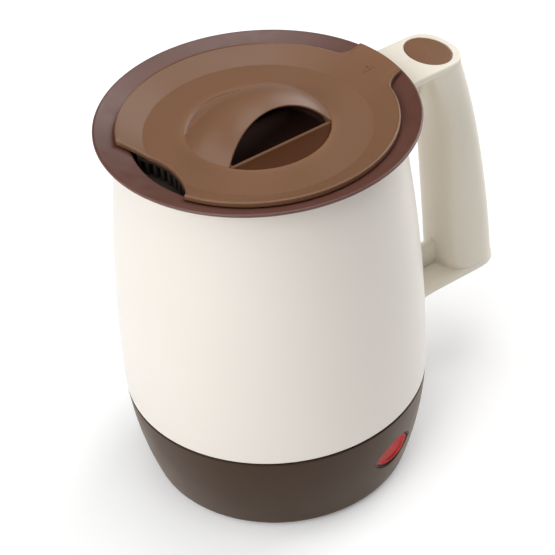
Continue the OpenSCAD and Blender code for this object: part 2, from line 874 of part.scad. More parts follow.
module handle_screws() {
    color(steel)
    handle_screw_places() translate([0, 0, -seat]) {
        translate([0, 0, -handle_screw_head_t]) cylinder(r = handle_screw_head_r, h = handle_screw_head_t);
        cylinder(r = handle_screw_r, h = handle_screw_len);
    }
}

// Plan of the lid: disc, thumb tab with its fillets, less the pouring notch
module lid_plan_2d() {
    fillet_az = tab_angle + tab_fillet_turn;
    root_az = tab_angle / 2;
    tangent_r = tab_fillet_at * cos(tab_fillet_turn);
    difference() {
        union() {
            circle(r = lid_r, $fn = fine);
            intersection() {
                circle(r = tab_r, $fn = fine);
                polygon([
                    [0, 0],
                    2 * tab_r * [cos(tab_angle), -sin(tab_angle)],
                    2 * tab_r * [cos(tab_angle), sin(tab_angle)]
                ]);
            }
            for (s = [-1, 1])
                difference() {
                    polygon([
                        dish_r * [cos(root_az), s * sin(root_az)],
                        tangent_r * [cos(tab_angle), s * sin(tab_angle)],
                        tab_fillet_at * [cos(fillet_az), s * sin(fillet_az)],
                        dish_r * [cos(fillet_az), s * sin(fillet_az)]
                    ]);
                    translate(tab_fillet_at * [cos(fillet_az), s * sin(fillet_az)]) circle(r = tab_fillet);
                }
        }
        translate([notch_centre, 0]) circle(r = notch_r, $fn = fine);
    }
}

// Segments of a disc in front of and behind the arch
module well_segments_2d(r) {
    difference() {
        circle(r = r);
        square([4 * r, 2 * arch_foot_half], center = true);
    }
}

// Half profile of the arch about its own axis: a domed band, moved in by an inset
module arch_band_2d(inset) {
    intersection() {
        translate([arch_r - arch_dome_r, 0]) circle(r = arch_dome_r - inset, $fn = fine);
        translate([0, -1.5 * arch_foot_half]) square([2 * arch_r, 3 * arch_foot_half]);
    }
}

module grip_arch() {
    below = 4 * well_r;
    difference() {
        translate([0, 0, arch_axis_z]) rotate([90, 0, 0])
            difference() {
                rotate_extrude($fn = fine) arch_band_2d(0);
                rotate_extrude($fn = fine) arch_band_2d(arch_wall);
            }
        for (s = [-1, 1])
            translate([0, s * (arch_crown_half + waist_r), arch_base_z - below])
                cylinder(r = waist_r, h = 2 * below, $fn = fine);
        translate([-below / 2, -below / 2, arch_base_z - dish_t / 2 - below]) cube(below);
    }
}

module lid_cover() {
    color(lid_brown)
    union() {
        difference() {
            intersection() {
                rotate_extrude($fn = fine)
                    polygon([
                        [0, dish_over(0) - dish_t],
                        [dish_r, lid_under(dish_r)],
                        [tab_r + over, lid_under(tab_r + over)],
                        [tab_r + over, lid_over(tab_r + over)],
                        [dish_r, lid_over(dish_r)],
                        [0, dish_over(0)]
                    ]);
                translate([0, 0, skirt_z]) linear_extrude(rim_z) lid_plan_2d();
            }
            translate([0, 0, skirt_z]) linear_extrude(rim_z) {
                well_segments_2d(well_r);
                circle(r = well_hole_r);
            }
        }
        grip_arch();
        // Finger wells that slope down to the arch
        intersection() {
            translate([0, 0, skirt_z]) linear_extrude(rim_z) well_segments_2d(well_r + well_lap);
            for (turn = [0, 180])
                rotate(turn) translate([0, well_r, arch_base_z])
                    rotate([atan(well_tilt_drop / (well_r - arch_foot_half)), 0, 0])
                        translate([-well_r, -well_r, -well_t]) cube([2 * well_r, 2 * well_r, well_t]);
        }
    }
}

module grip_cup() {
    top = dish_over(cup_r) - dish_t - seat;
    color(dark_brown)
    rotate_extrude($fn = fine)
        polygon([
            [0, top - cup_depth],
            [cup_r, top - cup_depth],
            [cup_r, top],
            [cup_r - cup_wall, top],
            [cup_r - cup_wall, top - cup_depth + cup_wall],
            [0, top - cup_depth + cup_wall]
        ]);
}

module lid_strainer() {
    comb_top = dish_over(dish_r) - dish_t - seat;
    color(black)
    difference() {
        union() {
            // Skirt that hangs in the pot's throat
            difference() {
                rotate_extrude($fn = fine)
                    polygon([
                        [skirt_r - skirt_t, skirt_z],
                        [skirt_r, skirt_z],
                        [skirt_r, lid_under(skirt_r) - seat],
                        [skirt_r - skirt_t, lid_under(skirt_r - skirt_t) - seat]
                    ]);
                translate([notch_centre, 0, shelf_z + shelf_t])
                    cylinder(r = comb_r - comb_t, h = rim_z, $fn = fine);
            }
            // Pouring pocket: a shelf below the notch and the slotted wall behind it
            intersection() {
                translate([0, 0, skirt_z])
                    cylinder(r = skirt_r - skirt_t / 2, h = comb_top - skirt_z, $fn = fine);
                translate([notch_centre, 0, 0]) difference() {
                    translate([0, 0, shelf_z]) cylinder(r = comb_r, h = rim_z, $fn = fine);
                    translate([0, 0, shelf_z + shelf_t]) cylinder(r = comb_r - comb_t, h = rim_z, $fn = fine);
                }
            }
        }
        for (i = [0:slot_count - 1])
            translate([notch_centre, 0, shelf_z + shelf_t])
                rotate((i - (slot_count - 1) / 2) * slot_pitch / comb_r * 180 / PI)
                    translate([comb_r - 2 * comb_t, -slot_w / 2, 0])
                        cube([3 * comb_t, slot_w, comb_top - shelf_z - shelf_t - slot_top_gap]);
    }
}

module rubber_feet() {
    color(black)
    at_feet() cylinder(r = foot_r, h = foot_t + foot_sink);
}

// Tube swept along a route of points
module lead(route) {
    last = len(route) - 1;
    function unit(v) = v / norm(v);
    function heading(i) = unit(route[min(i + 1, last)] - route[max(i - 1, 0)]);
    points = [
        for (i = [0:last])
            let (t = heading(i), u = unit(cross(t, [0.9, -0.3, 0.2])), v = cross(t, u))
            for (j = [0:lead_sides - 1])
                let (a = 360 * j / lead_sides)
                route[i] + lead_r * (cos(a) * u + sin(a) * v)
    ];
    sides = [
        for (i = [0:last - 1], j = [0:lead_sides - 1])
            let (a = i * lead_sides + j, b = i * lead_sides + (j + 1) % lead_sides)
            each [[a, a + lead_sides, b + lead_sides], [a, b + lead_sides, b]]
    ];
    start_cap = [for (j = [0:lead_sides - 1]) j];
    end_cap = [for (j = [lead_sides - 1:-1:0]) last * lead_sides + j];
    polyhedron(points = points, faces = concat(sides, [start_cap, end_cap]));
}

module live_lead() {
    color("#7A4A2A") lead(live_route);
}

module switched_lead() {
    color("#7A4A2A") lead(switched_route);
}

module fuse_lead() {
    color("#D9D4C8") lead(fuse_route);
}

module element_lead() {
    color("#D9D4C8") lead(element_route);
}

module neutral_lead() {
    color("#3E63A8") lead(neutral_route);
}

module earth_lead() {
    color("#8DA63B") lead(earth_route);
}

body_shell();
base_shell();
inner_pot();
rim_seal();
heater_plate();
heating_element();
thermostat();
thermostat_bracket();
thermostat_screws();
thermal_fuse();
fuse_clip();
tie_screws();
connector_socket();
earth_pin();
contact_rings();
switch_housing();
power_rocker();
rocker_pin();
neon_lamp();
switch_terminals();
handle_front_half();
handle_rear_half();
handle_inlay();
handle_screws();
lid_cover();
grip_cup();
lid_strainer();
rubber_feet();
live_lead();
switched_lead();
fuse_lead();
element_lead();
neutral_lead();
earth_lead();
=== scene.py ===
"""Dressed model of an electric milk warming jug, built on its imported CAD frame."""
from math import acos, asin, copysign, cos, degrees, hypot, pi, radians, sin, sqrt, tan

import bmesh
import bpy
from bpy.props import FloatProperty, FloatVectorProperty, IntProperty, PointerProperty
from mathutils import Euler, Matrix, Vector
from mathutils.kdtree import KDTree


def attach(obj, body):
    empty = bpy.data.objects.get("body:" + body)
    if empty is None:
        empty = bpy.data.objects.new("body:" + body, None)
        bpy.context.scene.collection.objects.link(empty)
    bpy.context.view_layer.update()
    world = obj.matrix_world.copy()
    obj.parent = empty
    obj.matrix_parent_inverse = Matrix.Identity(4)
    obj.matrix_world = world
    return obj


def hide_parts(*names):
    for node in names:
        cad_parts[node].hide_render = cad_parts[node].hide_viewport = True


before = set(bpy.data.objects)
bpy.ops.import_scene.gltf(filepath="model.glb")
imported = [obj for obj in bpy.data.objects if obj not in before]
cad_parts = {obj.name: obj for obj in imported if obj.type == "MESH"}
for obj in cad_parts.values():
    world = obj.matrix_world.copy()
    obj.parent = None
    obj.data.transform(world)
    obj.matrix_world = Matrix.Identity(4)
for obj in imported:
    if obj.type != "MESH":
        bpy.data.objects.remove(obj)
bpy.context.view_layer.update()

bl_info = {
    "name": "Milk warming jug",
    "version": (1, 0, 0),
    "blender": (4, 5, 0),
    "location": "View3D > Sidebar > Jug",
    "description": "Models and finishes an electric milk warming jug on its CAD frame",
    "category": "Object",
}

# A millimetre in metres
MM = 0.001
# Distance under which vertices are merged
MERGE = 0.002 * MM
# Angle in degrees from which an edge shows as sharp
SHARP = 32


def number(name, description, value, unit="NONE", precision=2):
    """A number property."""
    return FloatProperty(name=name, description=description, default=value, precision=precision, unit=unit)


def length(name, description, millimetres):
    """A length property with its default in millimetres."""
    return number(name, description, millimetres * MM, "LENGTH", 5)


def angle(name, description, turn):
    """An angle property with its default in degrees."""
    return number(name, description, radians(turn), "ROTATION")


def power(name, description, watts):
    """A lamp's power property in watts."""
    return number(name, description, watts, "POWER")


def colour(name, description, red, green, blue):
    """A display colour property from 0 to 255 values."""
    return FloatVectorProperty(
        name=name, description=description, default=(red / 255, green / 255, blue / 255),
        subtype="COLOR_GAMMA", min=0.0, max=1.0,
    )


class JugBodySizes(bpy.types.PropertyGroup):
    """Sizes of the barrel body, its base and the pot"""

    belly_r: length("Belly radius", "Largest radius of the barrel", 70)
    belly_z: length("Belly height", "Height of the largest radius", 60)
    lower_curve: length("Lower curve", "Radius of the side curve below the belly", 178)
    upper_curve: length("Upper curve", "Radius of the side curve above the belly", 800)
    wall: length("Body wall", "Wall of the body shell", 2.5)
    seam_z: length("Seam height", "Height of the joint between base and body", 48)
    seam_gap: length("Seam gap", "Open width of that joint", 0.8)
    base_wall: length("Base wall", "Wall of the base shell", 2.8)
    base_z: length("Base height", "Height of the base's underside", 1.2)
    floor_t: length("Floor", "Thickness of the base floor", 2.5)
    base_edge: length("Base edge", "Rounding of the bottom edge", 3.5)
    edge: length("Edge rounding", "Rounding of the seam's edges", 0.6)
    rim_z: length("Rim height", "Height of the rim's lip", 184.5)
    rim_overhang: length("Rim overhang", "Reach of the rim past the body", 7.4)
    rim_slope: angle("Rim slope", "Slope of the rim", 23)
    pot_wall: length("Pot wall", "Sheet thickness of the pot", 1.5)
    pot_gap: length("Pot gap", "Air gap between pot and body at the top", 2.75)
    pot_floor: length("Pot floor", "Height of the pot's floor inside", 58)
    pot_corner: length("Pot corner", "Rounding between floor and wall", 14)
    throat: length("Throat", "Rounding between wall and rim", 3)
    bead: length("Rim bead", "Radius of the rolled lip", 0.78)
    bead_proud: length("Bead height", "Height of the rolled lip over the rim", 0.03)
    lip_reach: length("Lip reach", "Reach of the rim's face past its radius", 0.4)
    seal_t: length("Seal", "Thickness of the seal under the rim", 1.7)
    turn_steps: IntProperty(name="Turning steps", description="Steps of a full turn", default=192, min=24)


class JugLidSizes(bpy.types.PropertyGroup):
    """Sizes of the lid and its grip"""

    margin: length("Margin", "Width of the rim that shows round the lid", 8)
    gap: length("Gap", "Gap between lid and rim", 0.35)
    thick: length("Thickness", "Thickness of the lid", 2.2)
    flange: length("Flange", "Width of the sloping flange", 11.5)
    rise: length("Dish rise", "Rise of the dish towards its middle", 0.8)
    edge: length("Edge rounding", "Rounding of the lid's edges", 0.75)
    tab_reach: length("Tab reach", "Reach of the thumb tab", 7.7)
    tab_half: angle("Tab half angle", "Half angle of the thumb tab", 12.3)
    tab_root: angle("Tab root", "Half angle where the tab's fillets end", 18.5)
    notch_depth: length("Notch depth", "Depth of the pouring notch", 15.5)
    notch_half: length("Notch half width", "Half width of the pouring notch", 25.5)
    well_r: length("Well radius", "Radius of the round finger well", 31.5)
    well_drop: length("Well drop", "Fall of the finger wells to the arch", 1.2)
    well_t: length("Well floor", "Thickness of the wells", 1.8)
    arch_h: length("Arch height", "Height of the grip's arch", 16)
    arch_foot: length("Arch foot", "Half width of the arch at its feet", 15.5)
    arch_crown: length("Arch crown", "Half width of the arch at its crown", 10.2)
    arch_wall: length("Arch wall", "Wall of the arch", 2)
    arch_dome: length("Arch dome", "Radius of the crowning across the arch", 33)
    cup_wall: length("Cup wall", "Wall of the cup under the arch", 1.5)
    cup_depth: length("Cup depth", "Depth of that cup", 9)
    mark: length("Mark", "Size of the raised arrow on the tab", 4.2)


class JugHandleSizes(bpy.types.PropertyGroup):
    """Sizes of the handle"""

    foot_reach: length("Foot reach", "Reach of the column's foot past the belly", 55.5)
    top_reach: length("Top reach", "Reach of the column's top past the body", 43.8)
    finger_gap: length("Finger gap", "Room between belly and column", 26)
    half_w: length("Half width", "Half width of the column", 15.4)
    bow: length("Bow", "Outward bow of the column", 3.5)
    lean: length("Lean", "Inward lean of the inner face", 5)
    arch_in: length("Arch", "Inward sweep of the inner face at the top", 12)
    plate_t: length("Plate", "Thickness of the end plates", 3.2)
    foot_rise: length("Foot rise", "Step from the seam up to the lower plate", 7)
    lip: length("Lip", "Lip of the lower plate past the column", 0.5)
    edge: length("Edge rounding", "Rounding of the plates' edges", 0.9)
    flare_len: length("Flare length", "Length of the flare at the body", 18)
    flare_w: length("Flare width", "Width of that flare on each side", 1.5)
    root_half: length("Root half width", "Half width of the blocks at the body", 11)
    root_len: length("Root length", "Length of those blocks", 6.2)
    root_h: length("Root height", "Height of those blocks", 10)
    web_half: length("Web half width", "Half thickness of the webs", 1.3)
    inlay_len: length("Inlay length", "Length of the oval inlay across the handle", 25.5)
    inlay_w: length("Inlay width", "Width of the oval inlay along the handle", 18.2)
    inlay_shift: length("Inlay shift", "Shift of the inlay away from the body", 1.6)
    squareness: number("Squareness", "Power of the softly squared sections", 0.8)
    parting: length("Parting line", "Width of the chamfer along the parting line", 0.12)


class JugSwitchSizes(bpy.types.PropertyGroup):
    """Sizes of the rocker and its opening"""

    azimuth: angle("Direction", "Direction of the switch round the base", -74)
    height: length("Height", "Height of the switch", 26)
    width: length("Opening width", "Width of the almond opening", 26.5)
    tall: length("Opening height", "Height of the almond opening", 16)
    chamfer: length("Chamfer", "Chamfer round the opening", 0.4)
    rocker_w: length("Rocker width", "Width of the rocker", 22.1)
    rocker_h: length("Rocker height", "Height of the rocker", 13)
    rocker_front: length("Rocker depth", "Depth of the rocker's face below the wall", 1.2)
    rocker_t: length("Rocker thickness", "Thickness of the rocker", 8)
    rest: angle("Rest tilt", "Tilt of the rocker at rest", -6)


class JugColours(bpy.types.PropertyGroup):
    """Colours of the finishes"""

    cream: colour("Cream", "Body shell", 238, 231, 222)
    # Painted warm bounce: the handle is the body's cream, made warmer for the light bouncing in its nook
    handle: colour("Handle cream", "Both halves of the handle", 238, 230, 214)
    base: colour("Base brown", "Base shell", 60, 42, 28)
    rim: colour("Rim brown", "Non-stick coating of the pot", 94, 57, 47)
    lid: colour("Lid brown", "Lid and inlay", 122, 87, 63)
    # Painted shade: the front well's floor is darkened for the arch's shadow over it; the rear well keeps
    # the lid brown
    well: colour("Well brown", "Front finger well", 74, 41, 20)
    # Painted shade: the cup is far darker than the lid's brown, for the shade under the arch
    cup: colour("Cup brown", "Cup under the arch", 54, 34, 28)
    strainer: colour("Strainer brown", "Strainer", 56, 48, 40)
    black: colour("Black", "Switch housing, connector and thermostat", 27, 24, 23)
    red: colour("Red", "Rocker", 196, 40, 34)
    rubber: colour("Rubber", "Feet and seal", 30, 29, 28)
    steel: colour("Steel", "Screws and clips", 176, 178, 182)
    brass: colour("Brass", "Contacts", 198, 160, 84)
    casting: colour("Casting", "Heater plate", 184, 186, 189)
    sheath: colour("Sheath", "Heating element", 112, 112, 116)
    ceramic: colour("Ceramic", "Thermal fuse", 216, 208, 192)
    lamp: colour("Lamp", "Neon lamp", 232, 176, 150)
    live: colour("Live lead", "Brown insulation", 112, 68, 40)
    sleeve: colour("Sleeved lead", "White sleeve", 214, 208, 196)
    neutral: colour("Neutral lead", "Blue insulation", 56, 92, 160)
    earth: colour("Earth lead", "Green and yellow insulation", 134, 158, 52)


class JugStage(bpy.types.PropertyGroup):
    """Camera, floor and lights"""

    camera_at: FloatVectorProperty(
        name="Camera", description="Place of the camera",
        default=(-0.38297, -0.57700, 0.64633), unit="LENGTH",
    )
    camera_turn: FloatVectorProperty(
        name="Camera turn", description="Turn of the camera",
        default=tuple(radians(a) for a in (51.5162, 3.2378, -36.4467)), subtype="EULER",
    )
    lens: number("Lens", "Focal length in millimetres", 127.39)
    view_azimuth: angle("View", "Direction of the camera's right-hand side", -33.5)
    key: power("Key light", "Power of the light at the front left", 12.5)
    side: power("Side light", "Power of the light at the left", 7.0)
    top: power("Top light", "Power of the light overhead", 13.0)
    front: power("Front light", "Power of the light over the front", 10.5)
    rear: power("Rear light", "Power of the light at the rear right", 24.0)
    sky: number("Sky", "Strength of the even light", 0.07)
    floor_glow: number("Floor", "White added to the floor for the camera", 0.2)
    fade: FloatVectorProperty(
        name="Fade", description="Distances where the floor starts and ends its rise to white",
        size=2, default=(0.5, 1.5), unit="LENGTH",
    )


def settings(group):
    """One property group of the jug."""
    return getattr(bpy.context.scene, "jug_" + group)


# Shared shapes of the body

def barrel_r(z, inset=0.0):
    """Radius of the barrel at a height, moved in by an inset."""
    s = settings("body")
    curve = s.lower_curve if z < s.belly_z else s.upper_curve
    return s.belly_r - curve + sqrt((curve - inset) ** 2 - (z - s.belly_z) ** 2)


def body_top():
    """Height of the body shell's upper edge."""
    s = settings("body")
    return (s.rim_z - s.rim_overhang * tan(s.rim_slope)
            - s.pot_wall / cos(s.rim_slope) - s.seal_t)


def rim_r():
    """Radius of the rim."""
    return barrel_r(body_top()) + settings("body").rim_overhang


def pot_r():
    """Inner radius of the pot."""
    s = settings("body")
    return barrel_r(body_top()) - s.wall - s.pot_gap - s.pot_wall


def rim_surface(r):
    """Height of the rim's upper face at a radius."""
    s = settings("body")
    return s.rim_z - (rim_r() - r) * tan(s.rim_slope)


def spread(low, high, count):
    """Evenly spaced numbers from low to high."""
    return [low + (high - low) * i / (count - 1) for i in range(count)]


def turns(start, end, count):
    """Evenly spaced angles in radians, between angles in degrees."""
    return [radians(a) for a in spread(start, end, count)]


def around(radius, turn):
    """A point on a level circle round the jug's axis."""
    return radius * cos(turn), radius * sin(turn)


def arc(centre_r, centre_z, radius, start, end, count):
    """Points of an arc in a half profile, with angles in degrees."""
    return [(centre_r + radius * cos(a), centre_z + radius * sin(a)) for a in turns(start, end, count)]


def quarter(radius, count):
    """Insets and drops of a quarter-round edge, from the side to the face."""
    return [(radius * (1 - cos(a)), radius * (1 - sin(a))) for a in turns(0, 90, count)]


def oval(middle, half_x, half_y, z, count, start=0.0):
    """A level ring of points on an oval."""
    return [
        (middle[0] + half_x * cos(a), middle[1] + half_y * sin(a), z)
        for a in spread(start, start + 2 * pi, count + 1)[:-1]
    ]


def barrel_side(low, high, inset, count):
    """Points of the barrel's side between two heights."""
    return [(barrel_r(z, inset), z) for z in spread(low, high, count)]


# Modelling steps

def begin(name):
    """Adds a small plane, named for its piece, and opens it for editing."""
    if bpy.context.object and bpy.context.object.mode != "OBJECT":
        bpy.ops.object.mode_set(mode="OBJECT")
    bpy.ops.object.select_all(action="DESELECT")
    bpy.ops.mesh.primitive_plane_add(size=MM, location=(0, 0, 0))
    piece = bpy.context.object
    piece.name = piece.data.name = name
    bpy.ops.object.mode_set(mode="EDIT")
    return piece


def draw_chain(points):
    """Merges the plane to one vertex and extrudes it from point to point."""
    bpy.ops.mesh.select_all(action="SELECT")
    bpy.ops.mesh.merge(type="CENTER")
    bpy.ops.transform.translate(value=points[0])
    for here, there in zip(points, points[1:]):
        step = Vector(there) - Vector(here)
        bpy.ops.mesh.extrude_vertices_move(TRANSFORM_OT_translate={"value": step})


def close_mesh():
    """Merges doubles and points every face outwards."""
    bpy.ops.mesh.select_all(action="SELECT")
    bpy.ops.mesh.remove_doubles(threshold=MERGE)
    bpy.ops.mesh.normals_make_consistent(inside=False)


def finish_mesh(piece, sharp=SHARP):
    """Leaves edit mode and shades the piece smooth up to an angle."""
    bpy.ops.object.mode_set(mode="OBJECT")
    bpy.ops.object.shade_smooth_by_angle(angle=radians(sharp))
    return piece


def turned(name, profile):
    """A piece turned from its half profile round the jug's axis."""
    piece = begin(name)
    draw_chain([(r, 0.0, z) for r, z in profile])
    bpy.ops.mesh.select_all(action="SELECT")
    bpy.ops.mesh.spin(steps=settings("body").turn_steps, angle=2 * pi, center=(0, 0, 0), axis=(0, 0, 1))
    close_mesh()
    return finish_mesh(piece)


def move_selected(piece, before, after):
    """Moves each selected vertex from its place in one ring to its place in the next."""
    tree = KDTree(len(before))
    for i, point in enumerate(before):
        tree.insert(point, i)
    tree.balance()
    mesh = bmesh.from_edit_mesh(piece.data)
    for vertex in mesh.verts:
        if vertex.select:
            vertex.co = after[tree.find(vertex.co)[1]]
    bmesh.update_edit_mesh(piece.data)


def lofted(name, rings, joined=False, sharp=SHARP):
    """A piece extruded from ring to ring, closed by caps or joined end to end."""
    piece = begin(name)
    draw_chain(list(rings[0]) + [rings[0][0]])
    bpy.ops.mesh.select_all(action="SELECT")
    bpy.ops.mesh.remove_doubles(threshold=MERGE)
    if not joined:
        bpy.ops.mesh.edge_face_add()
        bpy.ops.mesh.duplicate()
        bpy.ops.mesh.delete(type="ONLY_FACE")
        select_loose(piece)
    for before, after in zip(rings, rings[1:]):
        bpy.ops.mesh.extrude_edges_move(TRANSFORM_OT_translate={"value": (0, 0, 0)})
        move_selected(piece, before, after)
    if not joined:
        bpy.ops.mesh.edge_face_add()
    close_mesh()
    return finish_mesh(piece, sharp)


def oval_block(name, middle, half_x, half_y, span, count, start=0.0):
    """An upright oval block between two heights, for a cut."""
    return lofted(name, [oval(middle, half_x, half_y, z, count, start) for z in span])


def select_loose(piece):
    """Selects the loose edges of a piece and nothing else."""
    mesh = bmesh.from_edit_mesh(piece.data)
    for face in mesh.faces:
        face.select = False
    for edge in mesh.edges:
        edge.select = not edge.link_faces
    bmesh.update_edit_mesh(piece.data)


def use_only(piece):
    """Makes a piece the only selected and active object."""
    bpy.ops.object.select_all(action="DESELECT")
    piece.select_set(True)
    bpy.context.view_layer.objects.active = piece


def cut_away(piece, cutter):
    """Cuts one closed piece out of another."""
    use_only(piece)
    bpy.ops.object.modifier_add(type="BOOLEAN")
    step = piece.modifiers[-1]
    step.operation = "DIFFERENCE"
    step.solver = "EXACT"
    step.object = cutter
    bpy.ops.object.modifier_apply(modifier=step.name)
    bpy.data.objects.remove(cutter)
    bpy.ops.object.shade_smooth_by_angle(angle=radians(SHARP))


def join_pieces(name, first, *others):
    """Joins other pieces into the first and names the result."""
    use_only(first)
    for other in others:
        other.select_set(True)
    bpy.ops.object.join()
    first.name = first.data.name = name
    return first


def block(name, low, high, rounding):
    """A block between two corners with bevelled edges."""
    bpy.ops.object.select_all(action="DESELECT")
    bpy.ops.mesh.primitive_cube_add(size=1, location=[(a + b) / 2 for a, b in zip(low, high)])
    piece = bpy.context.object
    piece.name = piece.data.name = name
    piece.scale = [b - a for a, b in zip(low, high)]
    bpy.ops.object.transform_apply(location=True, rotation=True, scale=True)
    bpy.ops.object.mode_set(mode="EDIT")
    bpy.ops.mesh.select_all(action="SELECT")
    bpy.ops.mesh.bevel(offset=rounding, segments=3, affect="EDGES")
    return finish_mesh(piece)


def dress(piece, finish, body, node):
    """Gives a piece its finish, its body and the node that it stands for."""
    piece.data.materials.clear()
    piece.data.materials.append(FINISHES[finish])
    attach(piece, body)
    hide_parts(node)


# Finishes

FINISHES = {}


def linear(display):
    """Scene-linear colour with alpha from a display colour."""
    return [c / 12.92 if c <= 0.04045 else ((c + 0.055) / 1.055) ** 2.4 for c in display] + [1.0]


def shade(display, factor):
    """A display colour made lighter or darker."""
    return [min(1.0, c * factor) for c in display]


class Tree:
    """A node tree while its nodes are laid out."""

    def __init__(self, tree):
        self.tree = tree

    def add(self, kind, **options):
        """Adds a node with its options."""
        node = self.tree.nodes.new(kind)
        for key, value in options.items():
            setattr(node, key, value)
        return node

    def link(self, source, target):
        """Links an output to a socket."""
        self.tree.links.new(source, target)

    def feed(self, target, value):
        """Links an output to a socket, or sets the socket to a constant."""
        if isinstance(value, bpy.types.NodeSocket):
            self.link(value, target)
        else:
            target.default_value = value

    def maths(self, operation, *values):
        """Joins two values, each an output or a number."""
        node = self.add("ShaderNodeMath", operation=operation)
        for target, value in zip(node.inputs, values):
            self.feed(target, value)
        return node.outputs["Value"]

    def remap(self, value, low, high, to_low, to_high):
        """Maps a range of a pattern to another range."""
        node = self.add("ShaderNodeMapRange")
        keys = ("Value", "From Min", "From Max", "To Min", "To Max")
        for key, given in zip(keys, (value, low, high, to_low, to_high)):
            self.feed(node.inputs[key], given)
        return node.outputs["Result"]


class Finish(Tree):
    """One procedural material while its nodes are laid out."""

    def __init__(self, name):
        self.material = bpy.data.materials.new(name)
        self.material.use_nodes = True
        super().__init__(self.material.node_tree)
        self.shader = self.tree.nodes["Principled BSDF"]
        self.place = self.add("ShaderNodeTexCoord").outputs["Object"]

    def done(self, **values):
        """Sets constant values on the shader's own sockets and returns the material."""
        for key, value in values.items():
            self.shader.inputs[key.replace("_", " ")].default_value = value
        return self.material

    def noise(self, scale, detail, roughness=0.5, stretch=(1, 1, 1)):
        """A noise pattern with its scale in waves per metre."""
        turn = self.add("ShaderNodeMapping")
        turn.inputs["Scale"].default_value = stretch
        pattern = self.add("ShaderNodeTexNoise")
        pattern.inputs["Scale"].default_value = scale
        pattern.inputs["Detail"].default_value = detail
        pattern.inputs["Roughness"].default_value = roughness
        self.link(self.place, turn.inputs["Vector"])
        self.link(turn.outputs["Vector"], pattern.inputs["Vector"])
        return pattern.outputs["Fac"]

    def cloud(self, scale, detail, low=0.3, high=0.7, to=(0.0, 1.0), **noise):
        """A noise pattern with a part of its range spread over other values."""
        return self.remap(self.noise(scale, detail, **noise), low, high, *to)

    def blend(self, factor, first, second):
        """Mixes two display colours, or a colour output and a display colour."""
        node = self.add("ShaderNodeMix", data_type="RGBA")
        self.link(factor, node.inputs["Factor"])
        for target, value in ((node.inputs[6], first), (node.inputs[7], second)):
            self.feed(target, value if isinstance(value, bpy.types.NodeSocket) else linear(value))
        return node.outputs[2]

    def colour(self, output):
        """Links the base colour."""
        self.link(output, self.shader.inputs["Base Color"])

    def roughness(self, output):
        """Links the roughness."""
        self.link(output, self.shader.inputs["Roughness"])

    def bump(self, pattern, strength, depth):
        """Raises a pattern by a depth in millimetres."""
        node = self.add("ShaderNodeBump")
        node.inputs["Strength"].default_value = strength
        node.inputs["Distance"].default_value = depth * MM
        self.link(pattern, node.inputs["Height"])
        self.link(node.outputs["Normal"], self.shader.inputs["Normal"])

    def edges(self, low, high, most):
        """Convex edges of the mesh as a mask."""
        return self.remap(self.add("ShaderNodeNewGeometry").outputs["Pointiness"], low, high, 0.0, most)


def moulded(
    name, base, rough, grain=2600, grain_depth=0.02, flow=0.035,
    gloss=0.5, worn=0.25, mottle=0.06, sheen=0.0,
):
    """Moulded plastic: spark grain, slow colour flow, handled patches and edges rubbed smooth."""
    f = Finish(name)
    tone = f.blend(f.cloud(14, 1.0, 0.25, 0.75), shade(base, 1 - flow), shade(base, 1 + flow))
    f.colour(f.blend(f.edges(0.505, 0.56, worn), tone, shade(base, 1.16)))
    f.roughness(f.cloud(55, 3.0, 0.25, 0.75, (rough - mottle, rough + mottle)))
    f.bump(f.noise(grain, 2.0), 0.35, grain_depth)
    return f.done(
        IOR=1.49, Specular_IOR_Level=gloss,
        Sheen_Weight=sheen, Sheen_Roughness=0.45, Sheen_Tint=(1.0, 0.8, 0.62, 1.0),
    )


def non_stick(name, base):
    """Non-stick coating: fine speckle in a satin film."""
    f = Finish(name)
    tone = f.blend(f.cloud(20, 4.0), shade(base, 0.95), shade(base, 1.05))
    f.colour(f.blend(f.cloud(2100, 1.0, 0.66, 0.74, (0.0, 0.35)), tone, shade(base, 1.35)))
    f.roughness(f.cloud(160, 4.0, to=(0.34, 0.48)))
    f.bump(f.noise(1500, 3.0), 0.4, 0.03)
    return f.done(IOR=1.5, Specular_IOR_Level=0.7)


def metal(name, base, rough, stretch=(1, 1, 1), scale=900, depth=0.02, stain=0.08):
    """Bare metal: drawn or cast grain with slight stains."""
    f = Finish(name)
    f.colour(f.blend(f.cloud(70, 5.0, 0.35, roughness=0.6), base, shade(base, 1 - stain)))
    f.roughness(f.cloud(scale, 3.0, to=(rough - 0.08, rough + 0.1), stretch=stretch))
    f.bump(f.noise(scale, 3.0, stretch=stretch), 0.4, depth)
    return f.done(Metallic=1.0)


def rubber(name, base):
    """Soft rubber: dull, with dusty patches."""
    f = Finish(name)
    f.colour(f.blend(f.cloud(120, 5.0, 0.5, 0.75, (0.0, 0.5), roughness=0.65), base, shade(base, 1.9)))
    f.roughness(f.cloud(240, 3.0, to=(0.68, 0.86)))
    f.bump(f.noise(1700, 2.0), 0.4, 0.03)
    return f.done(IOR=1.45, Specular_IOR_Level=0.3)


def lens_red(name, base):
    """Red translucent plastic with subsurface scattering and a faint, even emission: a painted glow, the
    same lit or unlit.
    """
    f = Finish(name)
    f.colour(f.blend(f.cloud(160, 3.0), shade(base, 0.86), shade(base, 1.12)))
    f.roughness(f.cloud(300, 3.0, to=(0.14, 0.26)))
    f.bump(f.noise(800, 2.0), 0.12, 0.02)
    # The even emission is a painted glow
    return f.done(
        IOR=1.49, Specular_IOR_Level=0.35, Emission_Color=linear(base), Emission_Strength=0.06,
        Subsurface_Weight=0.4, Subsurface_Scale=1.2 * MM, Subsurface_Radius=(1.0, 0.25, 0.2),
    )


def lamp_glass(name, base):
    """Thin glass of the neon lamp with faint drawing marks."""
    f = Finish(name)
    f.colour(f.blend(f.cloud(300, 2.0), base, shade(base, 1.08)))
    f.roughness(f.cloud(500, 2.0, to=(0.04, 0.12)))
    f.bump(f.noise(600, 2.0), 0.1, 0.02)
    return f.done(IOR=1.47, Transmission_Weight=0.6)


